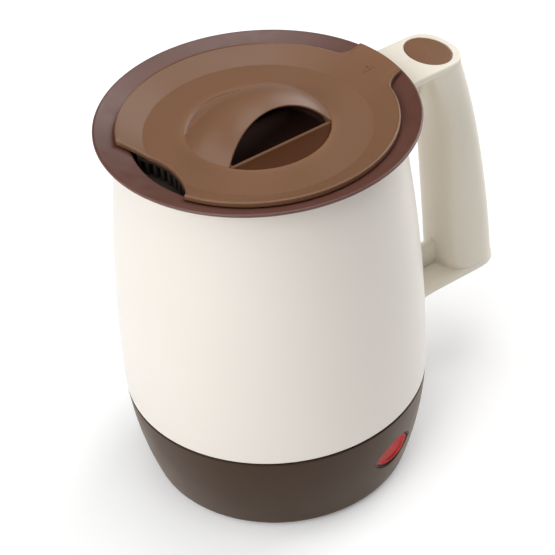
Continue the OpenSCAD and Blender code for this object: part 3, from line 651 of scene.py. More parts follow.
def insulation(name, base, weave=1400):
    """Lead insulation: soft plastic or woven sleeve with handling shine."""
    f = Finish(name)
    f.colour(f.blend(f.cloud(90, 3.0), shade(base, 0.9), shade(base, 1.08)))
    f.roughness(f.cloud(400, 3.0, to=(0.42, 0.62)))
    f.bump(f.noise(weave, 2.0), 0.4, 0.04)
    return f.done(IOR=1.48)


def make_finishes():
    """All finishes of the jug by name."""
    c = settings("colours")
    fine = {"grain": 3400, "grain_depth": 0.006, "flow": 0.006, "worn": 0.1, "mottle": 0.02}
    drawn = {"stretch": (1, 1, 0.05)}
    return {
        "cream": moulded("cream_plastic", c.cream, 0.32, **fine),
        # The handle's warmer cream is painted warm bounce light
        "handle": moulded("handle_plastic", c.handle, 0.34, **fine),
        "base": moulded("base_plastic", c.base, 0.42, grain=2400, grain_depth=0.02, gloss=0.15, sheen=0.22),
        "rim": non_stick("non_stick_coating", c.rim),
        "lid": moulded("lid_plastic", c.lid, 0.42, grain=2400, grain_depth=0.018, gloss=0.42, worn=0.4),
        # The cup's dark brown is painted shade under the arch
        "cup": moulded("cup_plastic", c.cup, 0.6, gloss=0.12),
        # The well finish is painted shade: a darker, less glossy copy of the lid plastic for the arch's
        # shadow
        "well": moulded("well_plastic", c.well, 0.55, grain=1800, grain_depth=0.03, gloss=0.15),
        "strainer": moulded("strainer_plastic", c.strainer, 0.46),
        "black": moulded("black_plastic", c.black, 0.46),
        "red": lens_red("red_lens", c.red),
        "rubber": rubber("soft_rubber", c.rubber),
        "steel": metal("plated_steel", c.steel, 0.3, **drawn),
        "brass": metal("contact_brass", c.brass, 0.28, stain=0.2, **drawn),
        "casting": metal("die_casting", c.casting, 0.5, scale=700, depth=0.08),
        "sheath": metal("element_sheath", c.sheath, 0.45, scale=500, depth=0.04, stain=0.3),
        "ceramic": insulation("fuse_ceramic", c.ceramic, weave=600),
        "lamp": lamp_glass("lamp_glass", c.lamp),
        "live": insulation("live_insulation", c.live),
        "sleeve": insulation("woven_sleeve", c.sleeve, weave=2600),
        "neutral": insulation("neutral_insulation", c.neutral),
        "earth": insulation("earth_insulation", c.earth),
    }


# Body and base

class JugBody(bpy.types.Operator):
    """Turns the body shell and the seal under the rim"""

    bl_idname = "jug.body"
    bl_label = "Body shell"

    def execute(self, context):
        s = settings("body")
        low, high, e = s.seam_z + s.seam_gap / 2, body_top(), s.edge
        shell = turned("body_shell_dressed", (
            [(barrel_r(low, s.wall), low)]
            + arc(barrel_r(low) - e, low + e, e, -90, -4, 6)
            + barrel_side(low + e, high - e, 0, 60)
            + arc(barrel_r(high) - e, high - e, e, 8, 90, 5)
            + barrel_side(high, low, s.wall, 14)
        ))
        dress(shell, "cream", "jug", "body_shell")
        outer, inner = barrel_r(high), barrel_r(high) - s.wall
        gap, low_edge, top_edge = 0.1 * MM, 0.3 * MM, 0.2 * MM
        under = s.pot_wall / cos(s.rim_slope) + gap
        over = rim_surface(outer) - under
        seal = turned("rim_seal_dressed", [
            (inner, high), (outer - low_edge, high), (outer, high + low_edge), (outer, over - top_edge),
            (outer - top_edge, over - top_edge / 2), (inner, rim_surface(inner) - under), (inner, high),
        ])
        dress(seal, "rubber", "jug", "rim_seal")
        return {"FINISHED"}


# A well cutter is turned and widened a little so that its corners miss the edges of the shell and the posts
CUT_TURN = 0.05
CUT_SLACK = 0.3 * MM


class JugBase(bpy.types.Operator):
    """Turns the base shell, cuts its openings and sets its feet"""

    bl_idname = "jug.base"
    bl_label = "Base shell and feet"

    connector_r: length("Connector hole", "Radius of the connector's hole", 22.7)
    tie_r: length("Tie circle", "Distance of the tie screws from the axis", 34)
    well_r: length("Screw well", "Radius of the wells of the tie screws", 4.2)
    well_wall: length("Well wall", "Wall of those wells", 1.8)
    well_top: length("Well top", "Height of those wells", 40.5)
    shoulder: length("Well shoulder", "Height of the shoulder under the screw heads", 30.5)
    foot_circle: length("Foot circle", "Distance of the feet from the axis", 47)
    foot_r: length("Foot radius", "Radius of a foot", 5)
    spigot: length("Spigot", "Height of the spigot above the seam", 6)
    spigot_inset: length("Spigot inset", "Inset of the spigot from the barrel", 2.7)
    spigot_wall: length("Spigot wall", "Wall of the spigot", 2.2)

    def execute(self, context):
        s = settings("body")
        e, top, floor = s.edge, s.seam_z - s.seam_gap / 2, s.base_z + s.floor_t
        edge_z = s.base_z + s.base_edge
        bend = s.lower_curve - s.base_edge
        edge_x = s.belly_r - s.lower_curve + sqrt(bend ** 2 - (edge_z - s.belly_z) ** 2)
        lean = degrees(asin((edge_z - s.belly_z) / bend))
        spigot_top, spigot_low = s.seam_z + self.spigot, top - 6 * MM
        deep, hub_r = self.spigot_inset + self.spigot_wall, 30 * MM
        shell = turned("base_shell_dressed", (
            [(self.connector_r, s.base_z)]
            + [(r, s.base_z) for r in spread(hub_r, edge_x - MM, 4)]
            + arc(edge_x, edge_z, s.base_edge, -90, lean, 10)
            + barrel_side(edge_z, top - e, 0, 26)
            + arc(barrel_r(top) - e, top - e, e, 0, 90, 6)
            + barrel_side(top, spigot_top, self.spigot_inset, 4)
            + barrel_side(spigot_top, spigot_low, deep, 5)
            + barrel_side(spigot_low - 0.5 * MM, floor, s.base_wall, 12)
            + [(self.connector_r, floor), (self.connector_r, s.base_z)]
        ))
        cut_away(shell, opening_cutter())
        ties, radius = turns(90, 330, 3), self.well_r + CUT_SLACK
        span = (s.base_z - MM, floor + MM)
        for turn in ties:
            at = around(self.tie_r, turn)
            cut_away(shell, oval_block("screw_well_cutter", at, radius, radius, span, 48, CUT_TURN))
        join_pieces("base_shell_dressed", shell, *[self.tower(turn) for turn in ties])
        dress(shell, "base", "jug", "base_shell")
        feet = join_pieces("rubber_feet_dressed", *[self.foot(turn) for turn in turns(45, 315, 4)])
        dress(feet, "rubber", "jug", "rubber_feet")
        return {"FINISHED"}

    def tower(self, turn):
        """A hollow post for one tie screw, with its shoulder."""
        s = settings("body")
        floor = s.base_z + s.floor_t - 0.5 * MM
        outer, bore = self.well_r + self.well_wall, 2.2 * MM
        profile = [
            (self.well_r, floor), (outer, floor), (outer, self.well_top), (bore, self.well_top),
            (bore, self.shoulder), (self.well_r, self.shoulder), (self.well_r, floor),
        ]
        return set_round(turned("screw_tower", profile), self.tie_r, turn)

    def foot(self, turn):
        """One rubber foot with a rounded tread edge."""
        r, soft, tall = self.foot_r, 0.8 * MM, 2.2 * MM
        tread = [(0, 0), (r - 1.5 * soft, 0)] + arc(r - soft, soft, soft, -90, 0, 6)
        return set_round(turned("rubber_foot", tread + [(r, tall), (0, tall)]), self.foot_circle, turn)


def set_round(piece, radius, turn):
    """Moves a finished piece to its place on a circle round the axis."""
    use_only(piece)
    bpy.ops.transform.translate(value=(*around(radius, turn), 0))
    bpy.ops.object.transform_apply(location=True, rotation=False, scale=False)
    return piece


# Switch

def switch_lean():
    """Lean of the wall at the switch."""
    s, w = settings("body"), settings("switch")
    return asin((s.belly_z - w.height) / s.lower_curve)


def on_wall(out, along, up):
    """A point of the switch's frame on the wall, in the frame of the jug."""
    w, lean = settings("switch"), switch_lean()
    reach = barrel_r(w.height) + out * cos(lean) + up * sin(lean)
    height = w.height - out * sin(lean) + up * cos(lean)
    c, s = cos(w.azimuth), sin(w.azimuth)
    return (reach * c - along * s, reach * s + along * c, height)


def almond(width, tall, grow=0.0, count=26):
    """Outline of an almond, grown or shrunk on every side, as points along and up the wall."""
    # The pointed ends move further than the flat sides
    width, tall = width + 2.4 * grow, tall + 2 * grow
    radius = (width ** 2 + tall ** 2) / (4 * tall)
    half = asin(width / 2 / radius)
    upper = [(radius * sin(a), tall / 2 - radius + radius * cos(a)) for a in spread(-half, half, count)]
    lower = [(y, -z) for y, z in reversed(upper)]
    return upper + lower[1:-1]


def wall_sag(along, up):
    """Depth of the curved wall behind its tangent plane."""
    s, w = settings("body"), settings("switch")
    return along ** 2 / (2 * barrel_r(w.height)) + up ** 2 / (2 * s.lower_curve)


def opening_cutter():
    """Cutter of the almond opening, flared to a chamfer where it meets the wall."""
    w = settings("switch")
    rings = []
    deep, out = 7 * MM, 2 * MM
    for depth, grow in ((-deep, 0.0), (-w.chamfer, 0.0), (0.0, w.chamfer), (out, w.chamfer + out)):
        rings.append([on_wall(depth - wall_sag(y, z), y, z) for y, z in almond(w.width, w.tall, grow)])
    return lofted("opening_cutter", rings)


# Shares of the rocker's face from its edge inwards, with their sink in millimetres
FACE_ROWS = (
    (0.97, 0.02), (0.93, 0.15), (0.89, 0.4), (0.84, 0.55),
    (0.7, 0.62), (0.5, 0.65), (0.3, 0.65), (0.1, 0.65),
)


class JugSwitch(bpy.types.Operator):
    """Lofts the red rocker with its dished and rounded face"""

    bl_idname = "jug.switch"
    bl_label = "Rocker"

    axis_depth: length("Axis depth", "Depth of the rocking axis below the wall", 7.2)
    edge: length("Edge rounding", "Rounding of the rocker's face", 0.7)
    dish: length("Dish", "Depth of the finger dish", 0.4)
    slope: number("Slope", "Slope of the face, deeper at its upper edge", 0.3)
    flange_w: length("Flange width", "Width of the flange round the rocker's face", 24.8)
    flange_h: length("Flange height", "Height of that flange", 15.4)
    flange_t: length("Flange thickness", "Thickness of that flange", 1.4)
    slope_from: length("Slope start", "Depth below the middle where the slope starts", 5)
    dish_half: length("Dish half length", "Half length of the finger dish", 9)

    def execute(self, context):
        w = settings("switch")
        back, front, e = -w.rocker_front - w.rocker_t, -w.rocker_front, self.edge
        core, face = (w.rocker_w, w.rocker_h), (self.flange_w, self.flange_h)
        step = front - self.flange_t - self.slope * (self.slope_from + self.flange_h / 2)
        rows = ((e * 1.5, back), (e * 0.4, back + e), (0.0, back + 2 * e), (0.0, step))
        rings = [self.ring(core, 1.0, inset, out) for inset, out in rows]
        rings += [self.ring(face, 1.0, inset, front - drop, 0.0) for inset, drop in quarter(e, 7)]
        rings += [self.ring(face, share, e, front, sink * MM) for share, sink in FACE_ROWS]
        rocker = lofted("power_rocker_dressed", rings, sharp=40)
        dress(rocker, "red", "rocker", "power_rocker")
        return {"FINISHED"}

    def ring(self, size, share, inset, out, sink=None):
        """One outline of the rocker, tilted to its rest place; with a sink it lies on the sloped face."""
        w = settings("switch")
        c, s = cos(w.rest), sin(w.rest)
        points = []
        for y, z in almond(*size, -inset):
            y, z = y * share, z * share
            depth = out
            if sink is not None:
                depth -= sink + self.slope * (z + self.slope_from)
                depth -= self.dish * max(0.0, 1 - (y / self.dish_half) ** 2)
            x = depth + self.axis_depth
            points.append(on_wall(x * c - y * s - self.axis_depth, x * s + y * c, z))
        return points


# Pot

class JugPot(bpy.types.Operator):
    """Turns the pot with its rounded throat, flared rim and rolled lip"""

    bl_idname = "jug.pot"
    bl_label = "Pot and rim"

    def execute(self, context):
        s = settings("body")
        inner, slope, wall = pot_r(), degrees(s.rim_slope), s.pot_wall
        corner = inner - s.pot_corner
        corner_z = s.pot_floor + s.pot_corner
        throat_x, lean = inner + s.throat, 90 + slope
        turn = radians(lean)
        rim_inner = throat_x + s.throat * cos(turn)
        throat_z = rim_surface(rim_inner) - s.throat * sin(turn)
        curl = s.bead - s.bead_proud
        lip = rim_r() + s.lip_reach
        bead = (lip + curl * sin(s.rim_slope), rim_surface(lip) - curl * cos(s.rim_slope))
        flare = [(r, rim_surface(r)) for r in spread(rim_inner, lip - 0.5 * MM, 9)]
        wall_low, wall_top = corner_z + 6 * MM, throat_z - MM
        below = [(r + wall * sin(s.rim_slope), z - wall * cos(s.rim_slope)) for r, z in reversed(flare)]
        pot = turned("inner_pot_dressed", (
            [(0, s.pot_floor)]
            + [(r, s.pot_floor) for r in spread(8 * MM, corner - 2 * MM, 5)]
            + arc(corner, corner_z, s.pot_corner, -90, 0, 14)
            + [(inner, z) for z in spread(wall_low, wall_top, 14)]
            + arc(throat_x, throat_z, s.throat, 180, lean, 9)
            + flare[1:]
            + arc(bead[0], bead[1], s.bead, lean, lean - 180, 14)
            + below[:-1]
            + arc(throat_x, throat_z, s.throat - wall, lean, 180, 6)
            + [(inner + wall, z) for z in spread(wall_top, wall_low, 8)]
            + arc(corner, corner_z, s.pot_corner + wall, 0, -90, 10)
            + [(0, s.pot_floor - wall)]
        ))
        dress(pot, "rim", "jug", "inner_pot")
        return {"FINISHED"}


# Lid

def lid_r():
    """Radius of the lid's edge."""
    return rim_r() - settings("lid").margin


def dish_r():
    """Radius where the dish meets the flange."""
    return lid_r() - settings("lid").flange


def lid_under(r):
    """Height of the lid's underside at a radius."""
    s, lid = settings("body"), settings("lid")
    if r >= dish_r():
        return rim_surface(r) + lid.gap / cos(s.rim_slope)
    return lid_over(r) - lid.thick / cos(s.rim_slope)


def lid_over(r):
    """Height of the lid's upper face at a radius."""
    s, lid = settings("body"), settings("lid")
    flange = rim_surface(max(r, dish_r())) + (lid.gap + lid.thick) / cos(s.rim_slope)
    return flange + lid.rise * max(0.0, 1 - r / dish_r())


def lid_outline():
    """Plan of the lid as angles and radii: tab, its fillet, edge and notch, then back on the other side."""
    lid = settings("lid")
    edge = lid_r()
    notch_x = edge - lid.notch_depth
    sag = sqrt(edge ** 2 - lid.notch_half ** 2) - notch_x
    notch_r = (lid.notch_half ** 2 + sag ** 2) / (2 * sag)
    centre = notch_x + notch_r
    notch_a = asin(lid.notch_half / edge)
    tab_end, soft, soft_a, steepest = edge + lid.tab_reach, 0.25 * MM, radians(0.2), 0.985
    side = [(a, tab_end) for a in spread(0, lid.tab_half - 3 * soft_a, 7)]
    side += [(lid.tab_half - soft_a, tab_end - soft)]
    for t in spread(steepest, 0, 14):
        a = lid.tab_root - (lid.tab_root - lid.tab_half) * t
        side.append((a, edge + lid.tab_reach * (1 - sqrt(1 - t * t))))
    side += [(a, edge) for a in spread(lid.tab_root, pi - notch_a, 74)[1:]]
    for a in spread(notch_a, 0, 30)[1:]:
        side.append((pi - a, centre * cos(a) - sqrt(notch_r ** 2 - (centre * sin(a)) ** 2)))
    return side + [(-a, r) for a, r in reversed(side[1:-1])]


def inset_outline(points, distance):
    """Moves a closed outline inwards along its own normals."""
    moved = []
    for i, here in enumerate(points):
        before, after = points[i - 1], points[(i + 1) % len(points)]
        run = Vector((after[0] - before[0], after[1] - before[1])).normalized()
        moved.append((here[0] - distance * run.y, here[1] + distance * run.x))
    return moved


# Overlap of the arch with its foot pads, and how much tighter its dome is at the crown
ARCH_LAP = 0.3 * MM
CROWN_TIGHT = 0.22
# Rows of a finger well: shares of its floor, then its lip's width in millimetres and share of the rise
FLOOR_ROWS = (1.0, 0.985, 0.97, 0.955, 0.94, 0.92, 0.9, 0.86, 0.8, 0.7, 0.58, 0.46, 0.34, 0.22, 0.1)
LIP_ROWS = (
    (1.2, 0.0), (1.0, 0.05), (0.85, 0.25), (0.72, 0.6), (0.58, 0.9),
    (0.42, 1.0), (0.2, 0.92), (0.06, 0.6), (0.0, 0.0),
)
# Corners of the arrow mark by its size, and its rows as a share of that size and a height in millimetres
MARK_CORNERS = [(-0.62, 0.0), (0.38, 0.55), (0.38, -0.55)]
MARK_ROWS = ((1.0, -0.3), (1.0, 0.26), (0.94, 0.36), (0.66, 0.36), (0.6, 0.26), (0.6, -0.3))


class JugLid(bpy.types.Operator):
    """Models the lid cover with its notch, tab, finger wells and arch grip, and the cup below"""

    bl_idname = "jug.lid"
    bl_label = "Lid"

    def execute(self, context):
        parts = [self.disc(), self.arch(), self.foot_pad(1), self.foot_pad(-1), self.well(1), self.well(-1)]
        cover = join_pieces("lid_cover_dressed", *parts, self.mark())
        dress(cover, "lid", "lid", "lid_cover")
        self.paint_well_shade(cover)
        self.cup()
        return {"FINISHED"}

    def paint_well_shade(self, cover):
        """Gives the floor of the front well a darker, less glossy copy of the lid plastic: painted shade
        from the arch over it.
        """
        lid = settings("lid")
        reach, start = lid.well_r - 0.3 * MM, lid.arch_foot + 0.95 * MM
        cover.data.materials.append(FINISHES["well"])
        for face in cover.data.polygons:
            x, y, _ = face.center
            if y < -start and hypot(x, y) < reach:
                face.material_index = 1

    def disc(self):
        """Dish and flange, lofted in rings from the well's edge out over the rim and back below."""
        lid = settings("lid")
        polar = lid_outline()
        rows = [lid.well_r + v * MM for v in (0.2, 2, 5)] + spread(lid.well_r + 9 * MM, dish_r() - 2 * MM, 3)
        rows += [dish_r() + v * MM for v in (-0.85, -0.4, 0, 0.45, 1.2)]
        rows += spread(dish_r() + 3 * MM, lid_r() - 1.05 * MM, 4)
        top, below = [], []
        for k, row in enumerate(rows):
            slack = (0.9 + 0.14 * (len(rows) - k)) * MM
            ring = [(a, min(row, r - slack)) for a, r in polar]
            top.append([(*around(r, a), lid_over(r)) for a, r in ring])
            below.append([(*around(r, a), lid_under(r)) for a, r in ring])
        plan = [around(r, a) for a, r in polar]
        rim = [self.edge_ring(plan, inset, lid_over, -drop) for drop, inset in quarter(lid.edge, 6)]
        rim += [self.edge_ring(plan, inset, lid_under, lift) for inset, lift in quarter(0.4 * MM, 4)]
        return lofted("lid_disc", top + rim + below[::-1] + top[:1], joined=True, sharp=28)

    def foot_pad(self, side):
        """Plate that carries one foot of the arch, inside the circle of the wells."""
        lid = settings("lid")
        sunk, side_lap, deep = 0.02 * MM, 0.35 * MM, 3 * MM
        level, wide = lid_over(lid.well_r) - sunk, lid.arch_foot + side_lap
        rings = []
        for y in spread(-wide, wide, 25):
            far = sqrt((lid.well_r + ARCH_LAP) ** 2 - y * y)
            near, below = far - deep, level - lid.thick
            section = ((near, level), (far, level), (far, below), (near, below))
            rings.append([(side * x, y, z) for x, z in section])
        return lofted("arch_foot_pad", rings)

    def edge_ring(self, plan, inset, face, lift):
        """One ring of the rounded outer edge."""
        return [
            (x, y, face(hypot(x0, y0)) + lift)
            for (x, y), (x0, y0) in zip(inset_outline(plan, inset), plan)
        ]

    def arch(self):
        """Domed band of the grip, swept from foot to foot between its leaning ends."""
        lid = settings("lid")
        foot_z = lid_over(lid.well_r)
        radius = (lid.well_r ** 2 + lid.arch_h ** 2) / (2 * lid.arch_h)
        axis_z = foot_z + lid.arch_h - radius
        foot, root = lid.arch_foot + ARCH_LAP, 1.2 * MM
        waist = foot - lid.arch_crown
        bend = (lid.well_r ** 2 - foot ** 2 + waist ** 2) / (2 * waist)
        end = acos((radius - lid.arch_h - root) / radius)
        rings = []
        for turn in spread(-end, end, 65):
            along = (radius - lid.arch_wall) * sin(turn)
            half = lid.arch_crown + bend - sqrt(bend ** 2 - along ** 2)
            rings.append([
                (rho * sin(turn), y, axis_z + rho * cos(turn)) for rho, y in self.band(half, radius)
            ])
        return lofted("grip_arch", rings, sharp=40)

    def band(self, half, radius):
        """Closed section of the arch: domed outside, thin rounded rims, hollow inside."""
        lid = settings("lid")
        e, thin, ramp = 0.35 * MM, 0.45 * lid.arch_wall, 3 * MM
        flat = (lid.arch_foot - half) / (lid.arch_foot - lid.arch_crown)
        dome = lid.arch_dome * (1 - CROWN_TIGHT * flat)

        def domed(y, inset):
            return radius - dome + sqrt(dome ** 2 - y * y) - inset

        outer = [(domed(y, 0), y) for y in spread(-(half - e), half - e, 23)]
        middle = domed(half - e, thin / 2)
        rim = [(middle + thin / 2 * sin(a), half - e + e * cos(a)) for a in turns(80, -80, 7)]
        inner = []
        for y in spread(half - e, -(half - e), 21):
            depth = min(1.0, (half - e - abs(y)) / ramp)
            inner.append((domed(y, thin + (lid.arch_wall - thin) * depth), y))
        back = [(rho, -y) for rho, y in reversed(rim)]
        return outer + rim + inner + back

    def well(self, side):
        """One finger well: a sunk round segment that ends in a thin lip at the arch."""
        lid = settings("lid")
        level, bottom = lid_over(lid.well_r), lid_over(lid.well_r) - lid.well_drop - lid.well_t
        reach, rise_from = lid.well_r + 0.25 * MM, 0.5 * MM
        wide = acos((lid.arch_foot + ARCH_LAP) / reach)
        lip_w = LIP_ROWS[0][0]
        rings = []
        for turn in spread(-wide, wide, 81):
            far = (reach * sin(turn), reach * cos(turn))
            near = lid.well_r * sin(wide) * turn / wide
            room = far[1] - lid.arch_foot
            end = lip_w * MM * min(1.0, room / (2 * lip_w * MM))
            rows = [(end + share * (room - end), 0.0) for share in FLOOR_ROWS]
            rows += [(end * out / lip_w, lift) for out, lift in LIP_ROWS]
            ring = []
            for out, lift in rows:
                x, y = near + (far[0] - near) * out / room, lid.arch_foot + out
                fall = self.well_fall(x, y)
                ring.append((x, y, level + fall + lift * max(0.0, -fall - rise_from)))
            ring += [(near, lid.arch_foot, bottom), (far[0], far[1], bottom)]
            rings.append([(x * side, -y * side, z) for x, y, z in ring])
        return lofted("finger_well", rings, sharp=50)

    def well_fall(self, x, y):
        """Fall of a well below the dish: a short step along its arc, then an even slope to the arch."""
        lid = settings("lid")
        step, share = 0.9 * MM, 0.6
        inside = min(1.0, max(0.0, (lid.well_r - hypot(x, y)) / step))
        slope = share + (1 - share) * (lid.well_r - y) / (lid.well_r - lid.arch_foot)
        return -lid.well_drop * slope * inside * inside * (3 - 2 * inside)

    def mark(self):
        """Raised outline of an arrow on the flange before the tab."""
        lid = settings("lid")
        at = lid_r() - 1.2 * MM
        rings = []
        for share, lift in MARK_ROWS:
            ring, size = [], lid.mark * share
            for (x0, y0), (x1, y1) in zip(MARK_CORNERS, MARK_CORNERS[1:] + MARK_CORNERS[:1]):
                for t in spread(0, 1, 5)[:-1]:
                    x = at + size * (x0 + (x1 - x0) * t)
                    y = size * (y0 + (y1 - y0) * t)
                    ring.append((x, y, lid_over(hypot(x, y)) + lift * MM))
            rings.append(ring)
        return lofted("arrow_mark", rings + rings[:1], joined=True)

    def cup(self):
        """Turns the cup that closes the space under the arch."""
        lid = settings("lid")
        room, gap, soft = 0.6 * MM, 0.1 * MM, 2 * MM
        outer = lid.well_r + room + lid.cup_wall
        top = lid_under(outer) - gap
        low, inner = top - lid.cup_depth, outer - lid.cup_wall
        floor = low + lid.cup_wall
        cup = turned("grip_cup_dressed", (
            [(0, low)] + arc(outer - soft, low + soft, soft, -90, 0, 7) + [(outer, top), (inner, top)]
            + arc(inner - soft, floor + soft, soft, 0, -90, 7) + [(0, floor)]
        ))
        # The cup's darker finish is painted shade under the arch
        dress(cup, "cup", "lid", "grip_cup")


# Handle

def handle_levels():
    """Heights of the handle's underside and top."""
    return settings("body").seam_z + settings("handle").foot_rise, body_top()


def column_faces(z):
    """Reach of the column's inner and outer face at a height."""
    s, h = settings("body"), settings("handle")
    low, high = handle_levels()
    t = (z - low) / (high - low)
    foot, top = s.belly_r + h.foot_reach, barrel_r(high) + h.top_reach
    outer = foot + (top - foot) * t + 4 * h.bow * t * (1 - t)
    sweep = max(0.0, (t - SWEEP_FROM) / (1 - SWEEP_FROM))
    inner = s.belly_r + h.finger_gap - h.lean * t - h.arch_in * sweep ** 2
    return inner, outer


def squared(c):
    """A sine or cosine that fills the corners of a softly squared section."""
    return copysign(abs(c) ** settings("handle").squareness, c)


def inlay_middle():
    """Reach of the inlay's middle."""
    return sum(column_faces(handle_levels()[1])) / 2 + settings("handle").inlay_shift


# Overlap of the column and the root blocks with the end plates
PLATE_LAP = 0.4 * MM
# Share of its height where the column's inner face starts to sweep inwards
SWEEP_FROM = 0.62
# Share of a face's normal across the parting plane from which the face is the cut itself
FACING = 0.9


class JugHandle(bpy.types.Operator):
    """Lofts the handle, parts it down the middle and sets its oval inlay"""

    bl_idname = "jug.handle"
    bl_label = "Handle and inlay"

    def execute(self, context):
        h = settings("handle")
        low, high = handle_levels()
        gap, deep, clear = 0.3 * MM, 1.2 * MM, MM
        pocket = (h.inlay_w / 2 + gap, h.inlay_len / 2 + gap, (high - deep, high + clear))
        for side, node in ((-1, "handle_front_half"), (1, "handle_rear_half")):
            parts = [self.column(), self.plate(high - h.plate_t, high), self.plate(low, low + h.plate_t)]
            cut_away(parts[1], oval_block("inlay_pocket", (inlay_middle(), 0), *pocket, 72))
            parts += self.roots() + self.webs()
            for part in parts:
                self.part(part, side)
            half = join_pieces(node + "_dressed", *parts)
            # The handle's warmer cream finish is painted warm bounce light
            dress(half, "handle", "jug", node)
        self.inlay(high)
        return {"FINISHED"}

    def part(self, piece, side):
        """Keeps one side of the middle plane and chamfers the parting line."""
        use_only(piece)
        bpy.ops.object.mode_set(mode="EDIT")
        bpy.ops.mesh.select_all(action="SELECT")
        bpy.ops.mesh.bisect(
            plane_co=(0, 0, 0), plane_no=(0, 1, 0), use_fill=True,
            clear_inner=side > 0, clear_outer=side < 0, threshold=MERGE / 2,
        )
        mesh = bmesh.from_edit_mesh(piece.data)
        for edge in mesh.edges:
            on_plane = all(abs(v.co.y) < MERGE for v in edge.verts)
            edge.select = on_plane and any(abs(f.normal.y) < FACING for f in edge.link_faces)
        bmesh.update_edit_mesh(piece.data)
        bpy.ops.mesh.bevel(offset=settings("handle").parting, segments=1, affect="EDGES")
        finish_mesh(piece, sharp=34)

    def column(self):
        """Grip: rounded sections from the lower plate to the upper one."""
        h = settings("handle")
        low, high = handle_levels()
        bottom, top = low + h.plate_t, high - h.plate_t
        fillet_h, fillet = 1.8 * MM, 0.4 * MM
        heights = [bottom - PLATE_LAP] + [bottom + v * MM for v in (0.0, 0.3, 0.7, 1.2, 1.8)]
        heights += spread(bottom + 3 * MM, top, 34) + [top + PLATE_LAP]
        rings = []
        for z in heights:
            inner, outer = column_faces(z)
            rise = max(0.0, 1 - max(0.0, z - bottom) / fillet_h)
            flare = fillet * (1 - sqrt(max(0.0, 1 - rise * rise)))
            centre, reach, half = (inner + outer) / 2, (outer - inner) / 2 + flare, h.half_w + flare
            rings.append([
                (centre + reach * squared(cos(a)), half * squared(sin(a)), z)
                for a in spread(0, 2 * pi, 65)[:-1]
            ])
        return lofted("handle_column", rings)

    def plate_outline(self, z):
        """Plan of an end plate: rounded end, straight sides, flare at the body."""
        h = settings("handle")
        inner, outer = column_faces(z)
        centre, reach, half = (inner + outer) / 2, (outer - inner) / 2 + h.lip, h.half_w + h.lip
        start = barrel_r(z)
        bend = (h.flare_len ** 2 + h.flare_w ** 2) / (2 * h.flare_w)
        side = [
            (centre + reach * squared(cos(a)), half * squared(sin(a))) for a in spread(0, pi / 2, 25)
        ]
        flare_end, sunk = start + h.flare_len, 0.8 * MM
        side += [(x, half) for x in spread(centre - 2 * MM, flare_end + MM, 5)]
        for x in spread(flare_end, start, 9):
            run = flare_end - x
            side.append((x, half + bend - sqrt(bend ** 2 - run ** 2)))
        wide = side[-1][1]
        for y in spread(wide, 0, 8):
            side.append((sqrt((start - sunk) ** 2 - y * y), y))
        return side + [(x, -y) for x, y in reversed(side[1:-1])]

    def plate(self, low, high):
        """One end plate with rounded edges."""
        outline = self.plate_outline((low + high) / 2)
        edge = quarter(settings("handle").edge, 6)
        rows = [(inset, low + drop) for inset, drop in reversed(edge)]
        rows += [(inset, high - drop) for inset, drop in edge]
        return lofted("handle_plate", [
            [(x, y, z) for x, y in inset_outline(outline, inset)] for inset, z in rows
        ])

    def roots(self):
        """Blocks that take the screws at the body."""
        h = settings("handle")
        low, high = handle_levels()
        top, foot = high - h.plate_t, low + h.plate_t
        pieces = []
        for z0, z1 in ((top - h.root_h, top + PLATE_LAP), (foot - PLATE_LAP, foot + h.root_h)):
            wall = barrel_r(z0)
            corners = (wall - MM, -h.root_half, z0), (wall + h.root_len, h.root_half, z1)
            pieces.append(block("handle_root", *corners, 2 * MM))
        return pieces

    def webs(self):
        """Ribs that stiffen the corners beside the finger gap."""
        h = settings("handle")
        low, high = handle_levels()
        lap, clear, sunk = 0.3 * MM, 2 * MM, 1.5 * MM
        top = high - h.plate_t
        near, deep = top - 9 * MM, top - 18 * MM
        wall, corner = barrel_r(top), column_faces(deep)[0] + sunk
        upper = [
            (wall + clear, top + lap), (wall + clear, near), (wall + h.root_len, near),
            (corner, deep), (corner, top + lap),
        ]
        foot = low + h.plate_t
        near, tall = foot + 4 * MM, foot + 14 * MM
        wall, corner = barrel_r(foot), column_faces(tall)[0] + sunk
        lower = [(wall + clear, foot - lap), (corner, foot - lap), (corner, tall), (wall + clear, near)]
        return [self.rib(upper), self.rib(lower)]

    def rib(self, outline):
        """A flat rib on the middle plane with softened edges."""
        half, soft = settings("handle").web_half, 0.5 * MM
        x0, z0 = [sum(values) / len(outline) for values in zip(*outline)]
        rings = []
        for y, inset in ((-half, soft), (soft - half, 0), (half - soft, 0), (half, soft)):
            rings.append([
                (x - copysign(inset, x - x0), y, z - copysign(inset, z - z0)) for x, z in outline
            ])
        return lofted("handle_rib", rings)

    def inlay(self, high):
        """Oval inlay with a softened edge and a slightly crowned face."""
        h = settings("handle")
        sunk, proud, crown, soft = 1.15 * MM, 0.05 * MM, 0.18 * MM, 0.5 * MM
        rows = [(1.0, 0.0, -sunk)] + [(1.0, inset, proud - drop) for inset, drop in quarter(soft, 6)]
        for share in (0.85, 0.7, 0.55, 0.4, 0.25, 0.12, 0.006):
            rows.append((share, 0.0, proud + crown * (1 - share * share)))
        middle, half_x, half_y = (inlay_middle(), 0), h.inlay_w / 2, h.inlay_len / 2
        inlay = lofted("handle_inlay_dressed", [
            oval(middle, half_x * share - inset, half_y * share - inset, high + lift, 96)
            for share, inset, lift in rows
        ])
        dress(inlay, "lid", "jug", "handle_inlay")


# Inner works, finishes and stage

